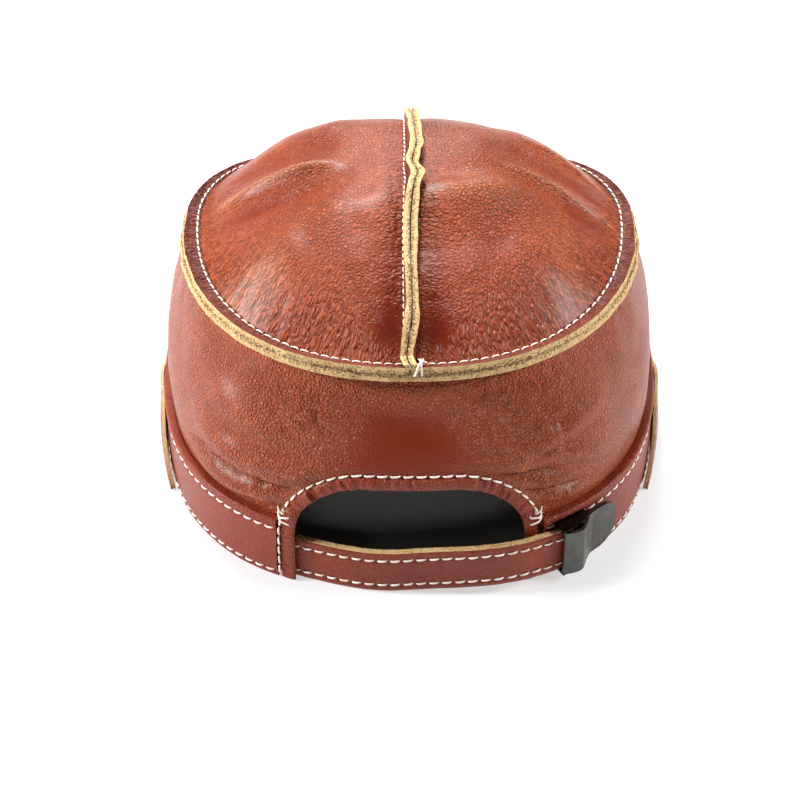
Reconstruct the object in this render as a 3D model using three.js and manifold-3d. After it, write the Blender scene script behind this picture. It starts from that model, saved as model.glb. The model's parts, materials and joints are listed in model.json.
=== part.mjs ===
// Leather cap with ear flaps, an arched opening at the back and a strap with a lever buckle.
// Millimetres, +Z up. The back of the cap faces -Y and the peak faces +Y.
// Azimuth 0 is the middle of the back, and it grows towards +X.

import * as THREE from 'three';
import Module from 'manifold-3d';

const wasm = await Module();
wasm.setup();

// Leather and clearances
const leather = 1.9;
const seamGap = 0.3;
const overcut = 1;

// Headband, measured on its outer face
const rimHalfWidth = 88.2;
const rimBack = 97.8;
const rimFront = 99.5;
const rimSquareness = 2.44;
const bandHeight = 26.3;
const bandThickness = 2.2;
const lipHeight = 2.4;
const lipProud = 0.8;
const frontLift = 12;
const liftStart = 95;

// Loop seam, where the top panels meet the side wall
const loopHalfWidth = 73.2;
const loopBack = 77;
const loopFront = 62;
const loopSquarenessBack = 2.36;
const loopSquarenessFront = 1.93;
const loopHeightBack = 84;
const loopHeightSide = 89.5;
const loopHeightFront = 68;
const loopFall = 3;
const flangeReach = 6.4;
const flangeTilt = 14;

// Side wall between the headband and the loop seam
const wallLean = 2;
const wallBelly = 2.2;
const wallAllowance = 8;

// Top of the crown
const crownTop = 119.6;
const domeSide = 2.35;
const domeEnd = 2.59;
const centreFlangeHeight = 5.4;
const centreFlangeLean = 9;
const centreFlangeStop = 2.3;
const panelTipAngles = [0.15, 2.4];

// Arched opening at the back
const openingHalfWidth = 39.2;
const openingTop = 44.4;
const openingCorner = 24.4;
const bindingWidth = 5.2;
const bindingProud = 1.4;
const bindingFoot = 0.6;

// Lining behind the opening
const liningThickness = 1.4;
const liningSetback = 5;
const liningGap = 0.5;
const liningFoot = 1;
const liningHeight = 64;
const liningHalfAngle = 50;

// Adjusting strap
const strapHeight = 16.8;
const strapThickness = 2.8;
const strapTuck = 9;
const strapFoot = 0.5;
const strapPastHinge = 7.5;

// Buckle with a hinged lever
const buckleAcross = 51.1;
const buckleRise = 3.6;
const framePlate = 0.6;
const frameArm = 0.6;
const frameLength = 12;
const leverLength = 25;
const leverHeight = 18.4;
const leverThickness = 1.3;
const leverTabRadius = 8.5;
const leverTabOut = 1.9;
const leverCrown = 0.8;
const leverStepStart = 4;
const leverStepEnd = 13;
const pinRadius = 0.7;
const barrelWall = 0.6;

// Ear flaps, turned up against the headband
const flapHeight = 24.5;
const flapFoot = 0.6;
const flapThickness = 1.9;
const flapBelly = 0.8;
const flapRound = 1.6;
const flapBack = 63;
const flapFront = 109;

// Peak
const peakReach = 47;
const peakThickness = 3.6;
const peakHalfAngle = 50;
const peakTuck = 6;
const peakDrop = 5;
const peakEndReach = 1;

// Dents and ridges of the top panels. across and along place them as shares of the loop seam's
// half width and back length, wide and long are their reach in the same shares, and rise is a
// share of the crown's height above the loop seam at the side.
const domeDents = [
  { across: 0.34, along: 0.1, wide: 0.26, long: 0.14, turn: 10, rise: -0.1 },
  { across: 0.76, along: 0.16, wide: 0.3, long: 0.07, turn: -32, rise: 0.07 },
  { across: 0.3, along: -0.3, wide: 0.28, long: 0.2, turn: 0, rise: 0.06 },
  { across: -0.6, along: 0.2, wide: 0.3, long: 0.06, turn: 18, rise: 0.07 },
  { across: -0.42, along: 0.4, wide: 0.34, long: 0.14, turn: 14, rise: -0.09 },
  { across: -0.4, along: -0.3, wide: 0.3, long: 0.24, turn: 0, rise: 0.05 },
];

// Folds of the side wall. azimuth and spread are in degrees, up and tall are shares of the
// height between the headband and the loop seam, and out is a share of the wall's belly.
const wallFolds = [
  { azimuth: -38, spread: 16, up: 0.16, tall: 0.1, out: 0.45 },
  { azimuth: -34, spread: 18, up: 0.36, tall: 0.12, out: -0.4 },
  { azimuth: 32, spread: 14, up: 0.18, tall: 0.1, out: 0.4 },
  { azimuth: 40, spread: 16, up: 0.4, tall: 0.12, out: -0.4 },
  { azimuth: 2, spread: 22, up: 0.62, tall: 0.16, out: -0.3 },
];

const { degToRad, smoothstep, lerp } = THREE.MathUtils;
const tilt = degToRad(flangeTilt);

// Plan curves

function ovalRadius(halfWidth, back, front, power, azimuth) {
  const halfLength = Math.cos(azimuth) > 0 ? back : front;
  const across = Math.abs(Math.sin(azimuth)) / halfWidth;
  const along = Math.abs(Math.cos(azimuth)) / halfLength;
  return (across ** power + along ** power) ** (-1 / power);
}

function rimRadius(azimuth) {
  return ovalRadius(rimHalfWidth, rimBack, rimFront, rimSquareness, azimuth);
}

function loopRadius(azimuth) {
  const power = Math.cos(azimuth) > 0 ? loopSquarenessBack : loopSquarenessFront;
  return ovalRadius(loopHalfWidth, loopBack, loopFront, power, azimuth);
}

function loopHeight(azimuth) {
  const along = Math.cos(azimuth);
  if (along > 0) return lerp(loopHeightSide, loopHeightBack, along ** 2);
  return lerp(loopHeightSide, loopHeightFront, Math.abs(along) ** loopFall);
}

// The rim lies flat at the back and sides, and rises to the front where the peak carries it.
function rimHeight(azimuth) {
  const fromBack = Math.acos(Math.cos(azimuth));
  const share = (fromBack - degToRad(liftStart)) / (Math.PI - degToRad(liftStart));
  return frontLift * (1 - Math.cos(Math.PI * Math.max(0, share))) / 2;
}

function onAzimuth(azimuth, radius, z) {
  return new THREE.Vector3(radius * Math.sin(azimuth), -radius * Math.cos(azimuth), z);
}

// The azimuth at which a plan curve is a given distance to the side of the middle of the back.
function azimuthAcross(radiusAt, across) {
  let low = -Math.PI / 2;
  let high = Math.PI / 2;
  for (let step = 0; step < 40; step += 1) {
    const middle = (low + high) / 2;
    if (radiusAt(middle) * Math.sin(middle) < across) low = middle;
    else high = middle;
  }
  return (low + high) / 2;
}

// The azimuth reached by walking a given distance along the rim.
function azimuthAfter(azimuth, distance) {
  const steps = 60;
  let reached = azimuth;
  for (let step = 0; step < steps; step += 1) {
    const here = onAzimuth(reached, rimRadius(reached), 0);
    const next = onAzimuth(reached + 0.001, rimRadius(reached + 0.001), 0);
    reached += 0.001 * distance / steps / here.distanceTo(next);
  }
  return reached;
}

function spread(from, to, count) {
  return Array.from({ length: count + 1 }, (_, index) => lerp(from, to, index / count));
}

// Solids

function solidFrom(points, faces) {
  const position = new Float32Array(points.flatMap((point) => [point.x, point.y, point.z]));
  let volume = 0;
  for (const [a, b, c] of faces) {
    volume += points[a].dot(new THREE.Vector3().crossVectors(points[b], points[c]));
  }
  const index = faces.flatMap(([a, b, c]) => (volume > 0 ? [a, b, c] : [a, c, b]));
  const geometry = new THREE.BufferGeometry();
  geometry.setAttribute('position', new THREE.BufferAttribute(position, 3));
  geometry.setIndex(index);
  return geometry;
}

// A wall of leather or cloth: each station holds a row of points on the inner face and the row
// that lies opposite on the outer face. The wall closes into a ring, or its ends are capped.
function wallSolid(stations, ring = false) {
  const rows = stations[0].inner.length;
  const points = stations.flatMap((station) => [...station.inner, ...station.outer]);
  const inner = (station, row) => (station % stations.length) * rows * 2 + row;
  const outer = (station, row) => inner(station, row) + rows;
  const faces = [];
  const quad = (a, b, c, d) => faces.push([a, b, c], [a, c, d]);
  const last = ring ? stations.length : stations.length - 1;
  for (let s = 0; s < last; s += 1) {
    for (let r = 0; r < rows - 1; r += 1) {
      quad(inner(s, r), inner(s, r + 1), inner(s + 1, r + 1), inner(s + 1, r));
      quad(outer(s, r), outer(s + 1, r), outer(s + 1, r + 1), outer(s, r + 1));
    }
    quad(inner(s, 0), inner(s + 1, 0), outer(s + 1, 0), outer(s, 0));
    quad(inner(s, rows - 1), outer(s, rows - 1), outer(s + 1, rows - 1), inner(s + 1, rows - 1));
  }
  if (!ring) {
    for (let r = 0; r < rows - 1; r += 1) {
      quad(inner(0, r), outer(0, r), outer(0, r + 1), inner(0, r + 1));
      quad(inner(last, r), inner(last, r + 1), outer(last, r + 1), outer(last, r));
    }
  }
  return solidFrom(points, faces);
}

// The line that runs a given distance to the right of a flat line of [radius, height] points.
function offsetLine(line, distance) {
  const normals = line.slice(1).map((point, index) => {
    const direction = new THREE.Vector2(point[0] - line[index][0], point[1] - line[index][1]);
    direction.normalize();
    return new THREE.Vector2(direction.y, -direction.x);
  });
  return line.map((point, index) => {
    const before = normals[Math.max(index - 1, 0)];
    const after = normals[Math.min(index, normals.length - 1)];
    const reach = distance / (1 + before.dot(after));
    return [point[0] + reach * (before.x + after.x), point[1] + reach * (before.y + after.y)];
  });
}

function toManifold(geometry) {
  const vertProperties = new Float32Array(geometry.getAttribute('position').array);
  const triVerts = new Uint32Array(geometry.getIndex().array);
  return new wasm.Manifold(new wasm.Mesh({ numProp: 3, vertProperties, triVerts }));
}

function fromManifold(solid) {
  const mesh = solid.getMesh();
  const geometry = new THREE.BufferGeometry();
  geometry.setAttribute('position', new THREE.BufferAttribute(mesh.vertProperties, 3));
  geometry.setIndex(new THREE.BufferAttribute(mesh.triVerts, 1));
  return geometry;
}

// A prism between two heights over a flat outline of [x, y] points.
function prism(outline, bottom, top) {
  const count = outline.length;
  const contour = outline.map(([x, y]) => new THREE.Vector2(x, y));
  if (THREE.ShapeUtils.isClockWise(contour)) contour.reverse();
  const points = [bottom, top].flatMap((z) => contour.map(({ x, y }) => new THREE.Vector3(x, y, z)));
  const faces = [];
  for (const [a, b, c] of THREE.ShapeUtils.triangulateShape(contour, [])) {
    faces.push([a, c, b], [a + count, b + count, c + count]);
  }
  for (let a = 0; a < count; a += 1) {
    const b = (a + 1) % count;
    faces.push([a, b, b + count], [a, b + count, a + count]);
  }
  return solidFrom(points, faces);
}

function mesh(name, geometry, colour, roughness, metalness = 0) {
  const material = new THREE.MeshStandardMaterial({ color: colour, roughness, metalness });
  const piece = new THREE.Mesh(geometry, material);
  piece.name = name;
  return piece;
}

// Surfaces of the crown

function bump(across, along, wide, long) {
  return Math.exp(-((across / wide) ** 2) - (along / long) ** 2);
}

// Height of the grain side of the top panels.
function domeHeight(x, y) {
  const azimuth = Math.atan2(x, -y);
  const share = Math.min(1, Math.hypot(x, y) / loopRadius(azimuth));
  const power = lerp(domeEnd, domeSide, Math.sin(azimuth) ** 2);
  const seam = loopHeight(azimuth);
  let height = seam + (crownTop - seam) * (1 - share ** power);
  for (const dent of domeDents) {
    const turn = degToRad(dent.turn);
    const across = x / loopHalfWidth - dent.across;
    const along = y / loopBack - dent.along;
    const turned = across * Math.cos(turn) + along * Math.sin(turn);
    const upright = along * Math.cos(turn) - across * Math.sin(turn);
    const rise = dent.rise * (crownTop - loopHeightSide) * (1 - share ** 4);
    height += rise * bump(turned, upright, dent.wide, dent.long);
  }
  return height;
}

function domeNormal(x, y) {
  const step = 0.5;
  const slopeX = (domeHeight(x + step, y) - domeHeight(x - step, y)) / (2 * step);
  const slopeY = (domeHeight(x, y + step) - domeHeight(x, y - step)) / (2 * step);
  return new THREE.Vector3(-slopeX, -slopeY, 1).normalize();
}

// Where the two leathers of the loop seam meet, below the crease of the top panels.
function seamLine(azimuth) {
  return [loopRadius(azimuth), loopHeight(azimuth) - (leather + seamGap / 2) / Math.cos(tilt)];
}

// Inner face of the side wall, from its foot inside the headband up to the loop seam.
function wallInner(azimuth, up) {
  const foot = rimRadius(azimuth) - bandThickness - seamGap - leather;
  const [seamRadius, seamHeight] = seamLine(azimuth);
  const base = rimHeight(azimuth) + bandHeight;
  let out = Math.sin(Math.PI * up);
  for (const fold of wallFolds) {
    const turn = Math.asin(Math.sin(azimuth - degToRad(fold.azimuth)));
    const near = Math.cos(azimuth - degToRad(fold.azimuth)) > 0;
    const fade = Math.sin(Math.PI * up);
    if (near) out += fold.out * fade * bump(turn, up - fold.up, degToRad(fold.spread), fold.tall);
  }
  const radius = lerp(foot, seamRadius, up ** wallLean) + wallBelly * out;
  return [radius, lerp(base, seamHeight - seamGap / 2 / Math.cos(tilt), up)];
}

// Radius of the inner face of the side wall at a height.
function wallInnerRadius(azimuth, z) {
  const base = rimHeight(azimuth) + bandHeight;
  const top = seamLine(azimuth)[1];
  return wallInner(azimuth, Math.min(1, Math.max(0, (z - base) / (top - base))))[0];
}

// Pieces

function topPanel(side) {
  const foot = seamGap / 2;
  const lean = Math.tan(degToRad(centreFlangeLean));
  const tips = panelTipAngles.map(degToRad);
  const middle = spread(0, Math.PI, 26).slice(1, -1);
  const azimuths = [...tips, ...middle, ...tips.map((azimuth) => Math.PI - azimuth).reverse()];
  const stations = azimuths.map((azimuth) => {
    const length = Math.cos(azimuth) > 0 ? loopBack : loopFront;
    const y = -(length - centreFlangeStop) * Math.cos(azimuth);
    const crest = domeHeight(0, y);
    const flangeTop = crest + centreFlangeHeight;
    const leanAway = lean * centreFlangeHeight;
    const end = onAzimuth(side * azimuth, loopRadius(azimuth), 0);
    const thickness = Math.min(leather, 0.8 * (Math.abs(end.x) - foot));
    const start = new THREE.Vector3(side * (foot + thickness), y, 0);
    const outwards = onAzimuth(side * azimuth, 1, 0);
    const along = outwards.clone().multiplyScalar(Math.cos(tilt)).setZ(Math.sin(tilt));
    const upwards = outwards.clone().multiplyScalar(-Math.sin(tilt)).setZ(Math.cos(tilt));
    const inner = [
      new THREE.Vector3(side * foot + leanAway, y, flangeTop),
      new THREE.Vector3(side * foot, y, crest - leather),
    ];
    const outer = [
      new THREE.Vector3(start.x + leanAway, y, flangeTop),
      new THREE.Vector3(start.x, y, domeHeight(start.x, y)),
    ];
    for (const share of [0.16, 0.32, 0.46, 0.6, 0.72, 0.83, 0.93]) {
      const grain = start.clone().lerp(end, share);
      grain.z = domeHeight(grain.x, grain.y);
      outer.push(grain);
      inner.push(grain.clone().addScaledVector(domeNormal(grain.x, grain.y), -leather));
    }
    const crease = end.clone().setZ(loopHeight(azimuth));
    const seam = crease.clone().setZ(crease.z - leather / Math.cos(tilt));
    const tip = seam.clone().addScaledVector(along, flangeReach);
    inner.push(seam, tip);
    outer.push(crease, tip.clone().addScaledVector(upwards, leather));
    return { inner, outer };
  });
  return wallSolid(stations);
}

// Outline of the arched opening, grown outwards by a margin, as [x, z] points from the left foot
// over the top to the right foot.
function archOutline(margin, bottom, cornerSteps) {
  const half = openingHalfWidth + margin;
  const corner = openingCorner + margin;
  const top = openingTop + margin;
  const outline = spread(bottom, top - corner, 6).map((z) => [-half, z]);
  for (const angle of spread(Math.PI, Math.PI / 2, cornerSteps).slice(1)) {
    outline.push([-half + corner + corner * Math.cos(angle), top - corner + corner * Math.sin(angle)]);
  }
  const right = outline.map(([x, z]) => [-x, z]).reverse();
  const flat = spread(outline.at(-1)[0], right[0][0], 8).slice(1, -1).map((x) => [x, top]);
  return [...outline, ...flat, ...right];
}

function sideWall() {
  const stations = spread(0, 2 * Math.PI, 72).slice(0, -1).map((azimuth) => {
    const base = wallInner(azimuth, 0);
    const line = [[base[0], base[1] - wallAllowance], base];
    for (const up of [0.12, 0.26, 0.42, 0.58, 0.74, 0.88, 1]) line.push(wallInner(azimuth, up));
    const [seamRadius, seamHeight] = line.at(-1);
    line.push([seamRadius + flangeReach * Math.cos(tilt), seamHeight + flangeReach * Math.sin(tilt)]);
    const place = ([radius, z]) => onAzimuth(azimuth, radius, z);
    return { inner: line.map(place), outer: offsetLine(line, leather).map(place) };
  });
  const outline = archOutline(bindingWidth + seamGap, 0, 8);
  const cutter = prism(outline, 0, rimBack + bandThickness).rotateX(Math.PI / 2);
  return fromManifold(toManifold(wallSolid(stations, true)).subtract(toManifold(cutter)));
}

function headband() {
  const backFace = (azimuth) => rimRadius(azimuth) - bandThickness;
  const end = azimuthAcross(backFace, openingHalfWidth + bindingWidth + seamGap);
  const stations = spread(end, 2 * Math.PI - end, 64).map((azimuth) => {
    const face = rimRadius(azimuth);
    const back = backFace(azimuth);
    const floor = rimHeight(azimuth);
    const levels = [0, bandHeight - lipHeight, bandHeight - lipHeight / 2, bandHeight];
    const proud = [0, 0, lipProud, lipProud / 2];
    return {
      inner: levels.map((level) => onAzimuth(azimuth, back, floor + level)),
      outer: levels.map((level, row) => onAzimuth(azimuth, face + proud[row], floor + level)),
    };
  });
  return wallSolid(stations);
}

// A rolled strip of leather round the edge of the opening, thicker where it also covers the ends
// of the headband.
function openingBinding() {
  const middle = archOutline(bindingWidth / 2, bindingFoot, 7);
  const stations = middle.map(([x, z], index) => {
    const before = middle[Math.max(index - 1, 0)];
    const after = middle[Math.min(index + 1, middle.length - 1)];
    const direction = new THREE.Vector2(after[0] - before[0], after[1] - before[1]).normalize();
    const overBand = bandThickness + seamGap;
    const proud = lerp(overBand, bindingProud, smoothstep(z, bandHeight, bandHeight + bindingWidth));
    const behindStrap = bandHeight - wallAllowance + seamGap;
    const back = (leather + seamGap) * (1 - smoothstep(z, behindStrap, bandHeight));
    const edge = (outwards, depth) => {
      const across = x - outwards * direction.y * bindingWidth / 2;
      const height = z + outwards * direction.x * bindingWidth / 2;
      const face = (azimuth) => wallInnerRadius(azimuth, height) + depth;
      const azimuth = azimuthAcross(face, across);
      return onAzimuth(azimuth, face(azimuth), height);
    };
    const full = leather + proud;
    const round = 0.28 * (full - back);
    return {
      inner: [edge(-1, full - round), edge(-1, back + round), edge(-0.7, back), edge(0.7, back),
        edge(1, back + round)],
      outer: [edge(-0.96, full - 0.6 * round), edge(-0.7, full), edge(0, full), edge(0.7, full),
        edge(1, full - round)],
    };
  });
  return wallSolid(stations);
}

// Radial place of the outer face of the strap beside the rim: behind the left end of the
// headband, level with the rim over the opening, and over the headband at the buckle.
function strapOut(across) {
  const behind = -(bandThickness + seamGap);
  const ahead = strapThickness + framePlate + 2 * seamGap;
  const leaving = smoothstep(across, -openingHalfWidth, -0.1 * openingHalfWidth);
  const arriving = smoothstep(across, 0, openingHalfWidth);
  return behind * (1 - leaving) + ahead * arriving;
}

function strapBottom(across) {
  const inBuckle = buckleRise + frameArm + seamGap;
  return lerp(strapFoot, inBuckle, smoothstep(across, -0.4 * openingHalfWidth, openingHalfWidth));
}

function backStrap() {
  const from = azimuthAcross(rimRadius, -openingHalfWidth - strapTuck);
  const to = azimuthAfter(azimuthAcross(rimRadius, buckleAcross), strapPastHinge);
  const stations = spread(from, to, 30).map((azimuth) => {
    const across = rimRadius(azimuth) * Math.sin(azimuth);
    const outer = rimRadius(azimuth) + strapOut(across);
    const bottom = strapBottom(across);
    const levels = [bottom, bottom + strapHeight];
    return {
      inner: levels.map((z) => onAzimuth(azimuth, outer - strapThickness, z)),
      outer: levels.map((z) => onAzimuth(azimuth, outer, z)),
    };
  });
  return wallSolid(stations);
}

// Buckle: a back plate between strap and headband, an arm above and below the strap, and a
// pin between the arms that carries the lever.
const hingeAzimuth = azimuthAcross(rimRadius, buckleAcross);
const strapFace = strapThickness + framePlate + 2 * seamGap;
const barrelRadius = pinRadius + seamGap + barrelWall;
const pinOut = strapFace + seamGap + barrelRadius;
const armTop = buckleRise + frameArm + leverHeight + 2 * seamGap;

function ribbonOutline(from, to, innerOut, outerOut, steps) {
  const row = (out) => spread(from, to, steps).map((azimuth, index) => {
    const point = onAzimuth(azimuth, rimRadius(azimuth) + out(index / steps), 0);
    return [point.x, point.y];
  });
  return [...row(outerOut), ...row(innerOut).reverse()];
}

function pinCylinder(radius, bottom, top, sides) {
  const centre = onAzimuth(hingeAzimuth, rimRadius(hingeAzimuth) + pinOut, 0);
  const outline = spread(0, 2 * Math.PI, sides).slice(0, -1).map((angle) => [
    centre.x + radius * Math.cos(angle), centre.y + radius * Math.sin(angle),
  ]);
  return toManifold(prism(outline, bottom, top));
}

function buckleFrame() {
  const from = azimuthAfter(hingeAzimuth, -barrelRadius);
  const to = azimuthAfter(hingeAzimuth, frameLength - barrelRadius);
  const plate = ribbonOutline(from, to, () => seamGap, () => seamGap + framePlate, 5);
  const armReach = (share) => lerp(pinOut + pinRadius, strapFace, share ** 2);
  const arm = ribbonOutline(from, to, () => seamGap, armReach, 5);
  const parts = [
    toManifold(prism(plate, buckleRise, armTop + frameArm)),
    toManifold(prism(arm, buckleRise, buckleRise + frameArm)),
    toManifold(prism(arm, armTop, armTop + frameArm)),
    pinCylinder(pinRadius, buckleRise + frameArm / 2, armTop + frameArm / 2, 12),
  ];
  return fromManifold(parts.reduce((whole, part) => whole.add(part)));
}

// The lever lies along the strap from its barrel on the pin, and steps down past the strap's end
// to a round finger tab that lies on the headband.
function buckleLever() {
  const bottom = buckleRise + frameArm + seamGap;
  const top = bottom + leverHeight;
  const to = azimuthAfter(hingeAzimuth, leverLength);
  const root = pinOut + barrelRadius - leverThickness;
  const inside = (share) => {
    const along = share * leverLength;
    const crown = leverCrown * Math.sin(Math.PI * Math.min(1, along / (2 * leverStepStart)));
    return lerp(root, leverTabOut, smoothstep(along, leverStepStart, leverStepEnd)) + crown;
  };
  const outside = (share) => inside(share) + leverThickness;
  const plate = toManifold(prism(ribbonOutline(hingeAzimuth, to, inside, outside, 20), bottom, top));
  const start = onAzimuth(hingeAzimuth, rimRadius(hingeAzimuth), 0);
  const end = onAzimuth(to, rimRadius(to) + strapFace, 0);
  const length = start.distanceTo(end);
  const corner = leverTabRadius;
  const tab = [[-leverLength, bottom - overcut], [-leverLength, top + overcut], [0, top + overcut]];
  for (const angle of spread(Math.PI / 2, -Math.PI / 2, 8)) {
    const height = angle > 0 ? top - corner : bottom + corner;
    tab.push([length - corner + corner * Math.cos(angle), height + corner * Math.sin(angle)]);
  }
  tab.push([0, bottom - overcut]);
  const cutter = prism(tab, -leverLength, leverLength);
  cutter.rotateX(Math.PI / 2);
  cutter.rotateZ(Math.atan2(end.y - start.y, end.x - start.x));
  cutter.translate(start.x, start.y, 0);
  return fromManifold(plate.intersect(toManifold(cutter))
    .add(pinCylinder(barrelRadius, bottom, top, 16))
    .subtract(pinCylinder(pinRadius + seamGap, bottom - overcut, top + overcut, 16)));
}

// An ear flap stands on the rim beside the headband, highest in its middle. It bellies out, so
// that a narrow gap shows behind its edge.
function earFlap(side) {
  const rows = [0, 0.12, 0.3, 0.5, 0.7, 0.88, 1];
  const stations = spread(-1, 1, 16).map((turn) => {
    const azimuth = degToRad(lerp(flapBack, flapFront, (turn + 1) / 2));
    const tall = flapThickness + (flapHeight - flapThickness) * (1 - Math.abs(turn) ** flapRound);
    const ends = 0.3 * flapBelly * Math.abs(turn) ** 6;
    const point = (row, depth) => {
      const height = flapFoot + tall * row;
      const stand = flapBelly * Math.sin(Math.PI * height / (flapHeight + flapFoot)) + ends;
      const overLip = lipProud * smoothstep(height, bandHeight - 3 * lipHeight, bandHeight);
      const out = seamGap + Math.max(stand, overLip) + depth;
      return onAzimuth(side * azimuth, rimRadius(azimuth) + out, rimHeight(azimuth) + height);
    };
    return {
      inner: rows.map((row) => point(row, 0)),
      outer: rows.map((row) => point(row, flapThickness)),
    };
  });
  return wallSolid(stations);
}

// The lining hangs behind the opening. Its upper and side edges lie against the side wall.
function lining() {
  const half = degToRad(liningHalfAngle);
  const stations = spread(-half, half, 22).map((azimuth) => {
    const levels = spread(liningFoot, liningHeight, 6);
    const face = levels.map((z) => {
      const fall = 1 - smoothstep(z, 0.6 * liningHeight, liningHeight);
      const middle = 1 - smoothstep(Math.abs(azimuth) / half, 0.72, 1);
      return wallInnerRadius(azimuth, z) - liningGap - liningSetback * fall * middle;
    });
    return {
      inner: levels.map((z, row) => onAzimuth(azimuth, face[row] - liningThickness, z)),
      outer: levels.map((z, row) => onAzimuth(azimuth, face[row], z)),
    };
  });
  return wallSolid(stations);
}

// The peak runs out from under the front of the headband and drops towards its edge.
function peak() {
  const stations = spread(-1, 1, 24).map((turn) => {
    const azimuth = Math.PI + turn * degToRad(peakHalfAngle);
    const reach = lerp(peakEndReach, peakReach, (1 - Math.abs(turn) ** 2.4) ** 0.8);
    const top = rimHeight(azimuth) - seamGap;
    const shares = [0, 0.25, 0.5, 0.75, 0.93, 1];
    const height = (share) => top - peakDrop * (reach / peakReach) * share ** 2;
    const thin = (share) => peakThickness * (share === 1 ? 0.5 : 1);
    const radius = (share) => rimRadius(azimuth) - peakTuck + (peakTuck + reach) * share;
    return {
      inner: shares.map((share) => onAzimuth(azimuth, radius(share), height(share) - thin(share))),
      outer: shares.map((share) => onAzimuth(azimuth, radius(share), height(share))),
    };
  });
  return wallSolid(stations);
}

const brown = '#9a4a32';
const cap = new THREE.Group();
cap.add(
  mesh('top_panel_left', topPanel(-1), brown, 0.42),
  mesh('top_panel_right', topPanel(1), brown, 0.42),
  mesh('side_wall', sideWall(), brown, 0.42),
  mesh('headband', headband(), '#8f4029', 0.44),
  mesh('opening_binding', openingBinding(), '#8f4029', 0.44),
  mesh('back_strap', backStrap(), '#a04c31', 0.44),
  mesh('buckle_frame', buckleFrame(), '#2c2b2a', 0.35, 0.9),
  mesh('buckle_lever', buckleLever(), '#6a6863', 0.32, 0.9),
  mesh('ear_flap_left', earFlap(-1), brown, 0.44),
  mesh('ear_flap_right', earFlap(1), brown, 0.44),
  mesh('lining', lining(), '#26251f', 0.9),
  mesh('peak', peak(), brown, 0.44),
);

// The origin is the middle of the cap's footprint, on the surface that it stands on.
const box = new THREE.Box3().setFromObject(cap);
const centre = box.getCenter(new THREE.Vector3());
cap.position.set(-centre.x, -centre.y, -box.min.z);

export default cap;
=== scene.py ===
"""Leather cap with ear flaps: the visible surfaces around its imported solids.

Each sub-assembly of the cap is one class. It holds its sizes in millimetres, in the cap's own
coordinates: azimuth 0 is the middle of the back, the peak points along +Y and +Z is up.
"""

import json
import logging
import math
from dataclasses import dataclass, field
from enum import Enum

import bpy
import numpy as np
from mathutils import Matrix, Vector

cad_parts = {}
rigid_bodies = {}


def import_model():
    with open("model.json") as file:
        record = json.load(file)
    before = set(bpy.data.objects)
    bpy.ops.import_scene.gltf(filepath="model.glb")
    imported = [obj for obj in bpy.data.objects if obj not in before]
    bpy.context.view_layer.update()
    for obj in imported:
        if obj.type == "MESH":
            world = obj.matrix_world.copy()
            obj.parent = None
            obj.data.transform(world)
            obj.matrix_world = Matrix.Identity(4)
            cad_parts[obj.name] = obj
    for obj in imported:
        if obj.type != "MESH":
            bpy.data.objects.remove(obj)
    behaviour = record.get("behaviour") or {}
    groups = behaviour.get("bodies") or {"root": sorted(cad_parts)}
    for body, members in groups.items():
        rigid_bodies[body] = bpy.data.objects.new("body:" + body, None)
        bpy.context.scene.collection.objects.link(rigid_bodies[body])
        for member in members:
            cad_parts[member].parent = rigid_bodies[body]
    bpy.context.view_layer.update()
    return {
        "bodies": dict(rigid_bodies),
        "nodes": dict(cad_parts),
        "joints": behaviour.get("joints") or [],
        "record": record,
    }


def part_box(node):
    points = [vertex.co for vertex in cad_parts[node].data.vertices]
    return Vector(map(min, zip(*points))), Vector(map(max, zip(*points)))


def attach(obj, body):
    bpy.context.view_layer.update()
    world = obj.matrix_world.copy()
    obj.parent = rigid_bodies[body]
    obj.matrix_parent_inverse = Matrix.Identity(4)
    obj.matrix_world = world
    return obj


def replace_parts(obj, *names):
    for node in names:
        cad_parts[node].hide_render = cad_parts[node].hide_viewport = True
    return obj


MILLIMETRE = 0.001
log = logging.getLogger("cap")


class Side(Enum):
    """Which side of the cap a piece is on, as the sign of its x."""

    LEFT = -1
    RIGHT = 1


class Body(Enum):
    """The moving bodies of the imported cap."""

    CAP = "cap"
    LEVER = "lever"


class Slot(Enum):
    """Material slots of the record."""

    CROWN = "crown_leather"
    BAND = "band_leather"
    METAL = "buckle_metal"
    CLOTH = "lining_cloth"


class Face(Enum):
    """The sides that one layer of leather shows, as places in a piece's list of finishes."""

    GRAIN = 0
    FLESH = 1
    CUT = 2
    # A darker copy of the grain side: painted shade where it lies in a seam's fold.
    PAINTED_SHADE_GRAIN = 3


def linear(colour: str) -> tuple[float, float, float, float]:
    """Turn an sRGB hex colour into Blender's linear colour.

    Args:
        colour: Six hex digits after a number sign.

    Returns:
        Linear red, green, blue and an alpha of 1.
    """
    values = [int(colour[place : place + 2], 16) / 255 for place in (1, 3, 5)]
    red, green, blue = (
        value / 12.92 if value <= 0.04045 else ((value + 0.055) / 1.055) ** 2.4
        for value in values
    )
    return red, green, blue, 1.0


def rise_between(value: np.ndarray, low: float, high: float) -> np.ndarray:
    """Go smoothly from 0 at low to 1 at high.

    Args:
        value: Where to look.
        low: Where the rise starts.
        high: Where the rise ends.

    Returns:
        A share from 0 to 1 for each value.
    """
    share = np.clip((value - low) / (high - low), 0.0, 1.0)
    return share * share * (3.0 - 2.0 * share)


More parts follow.
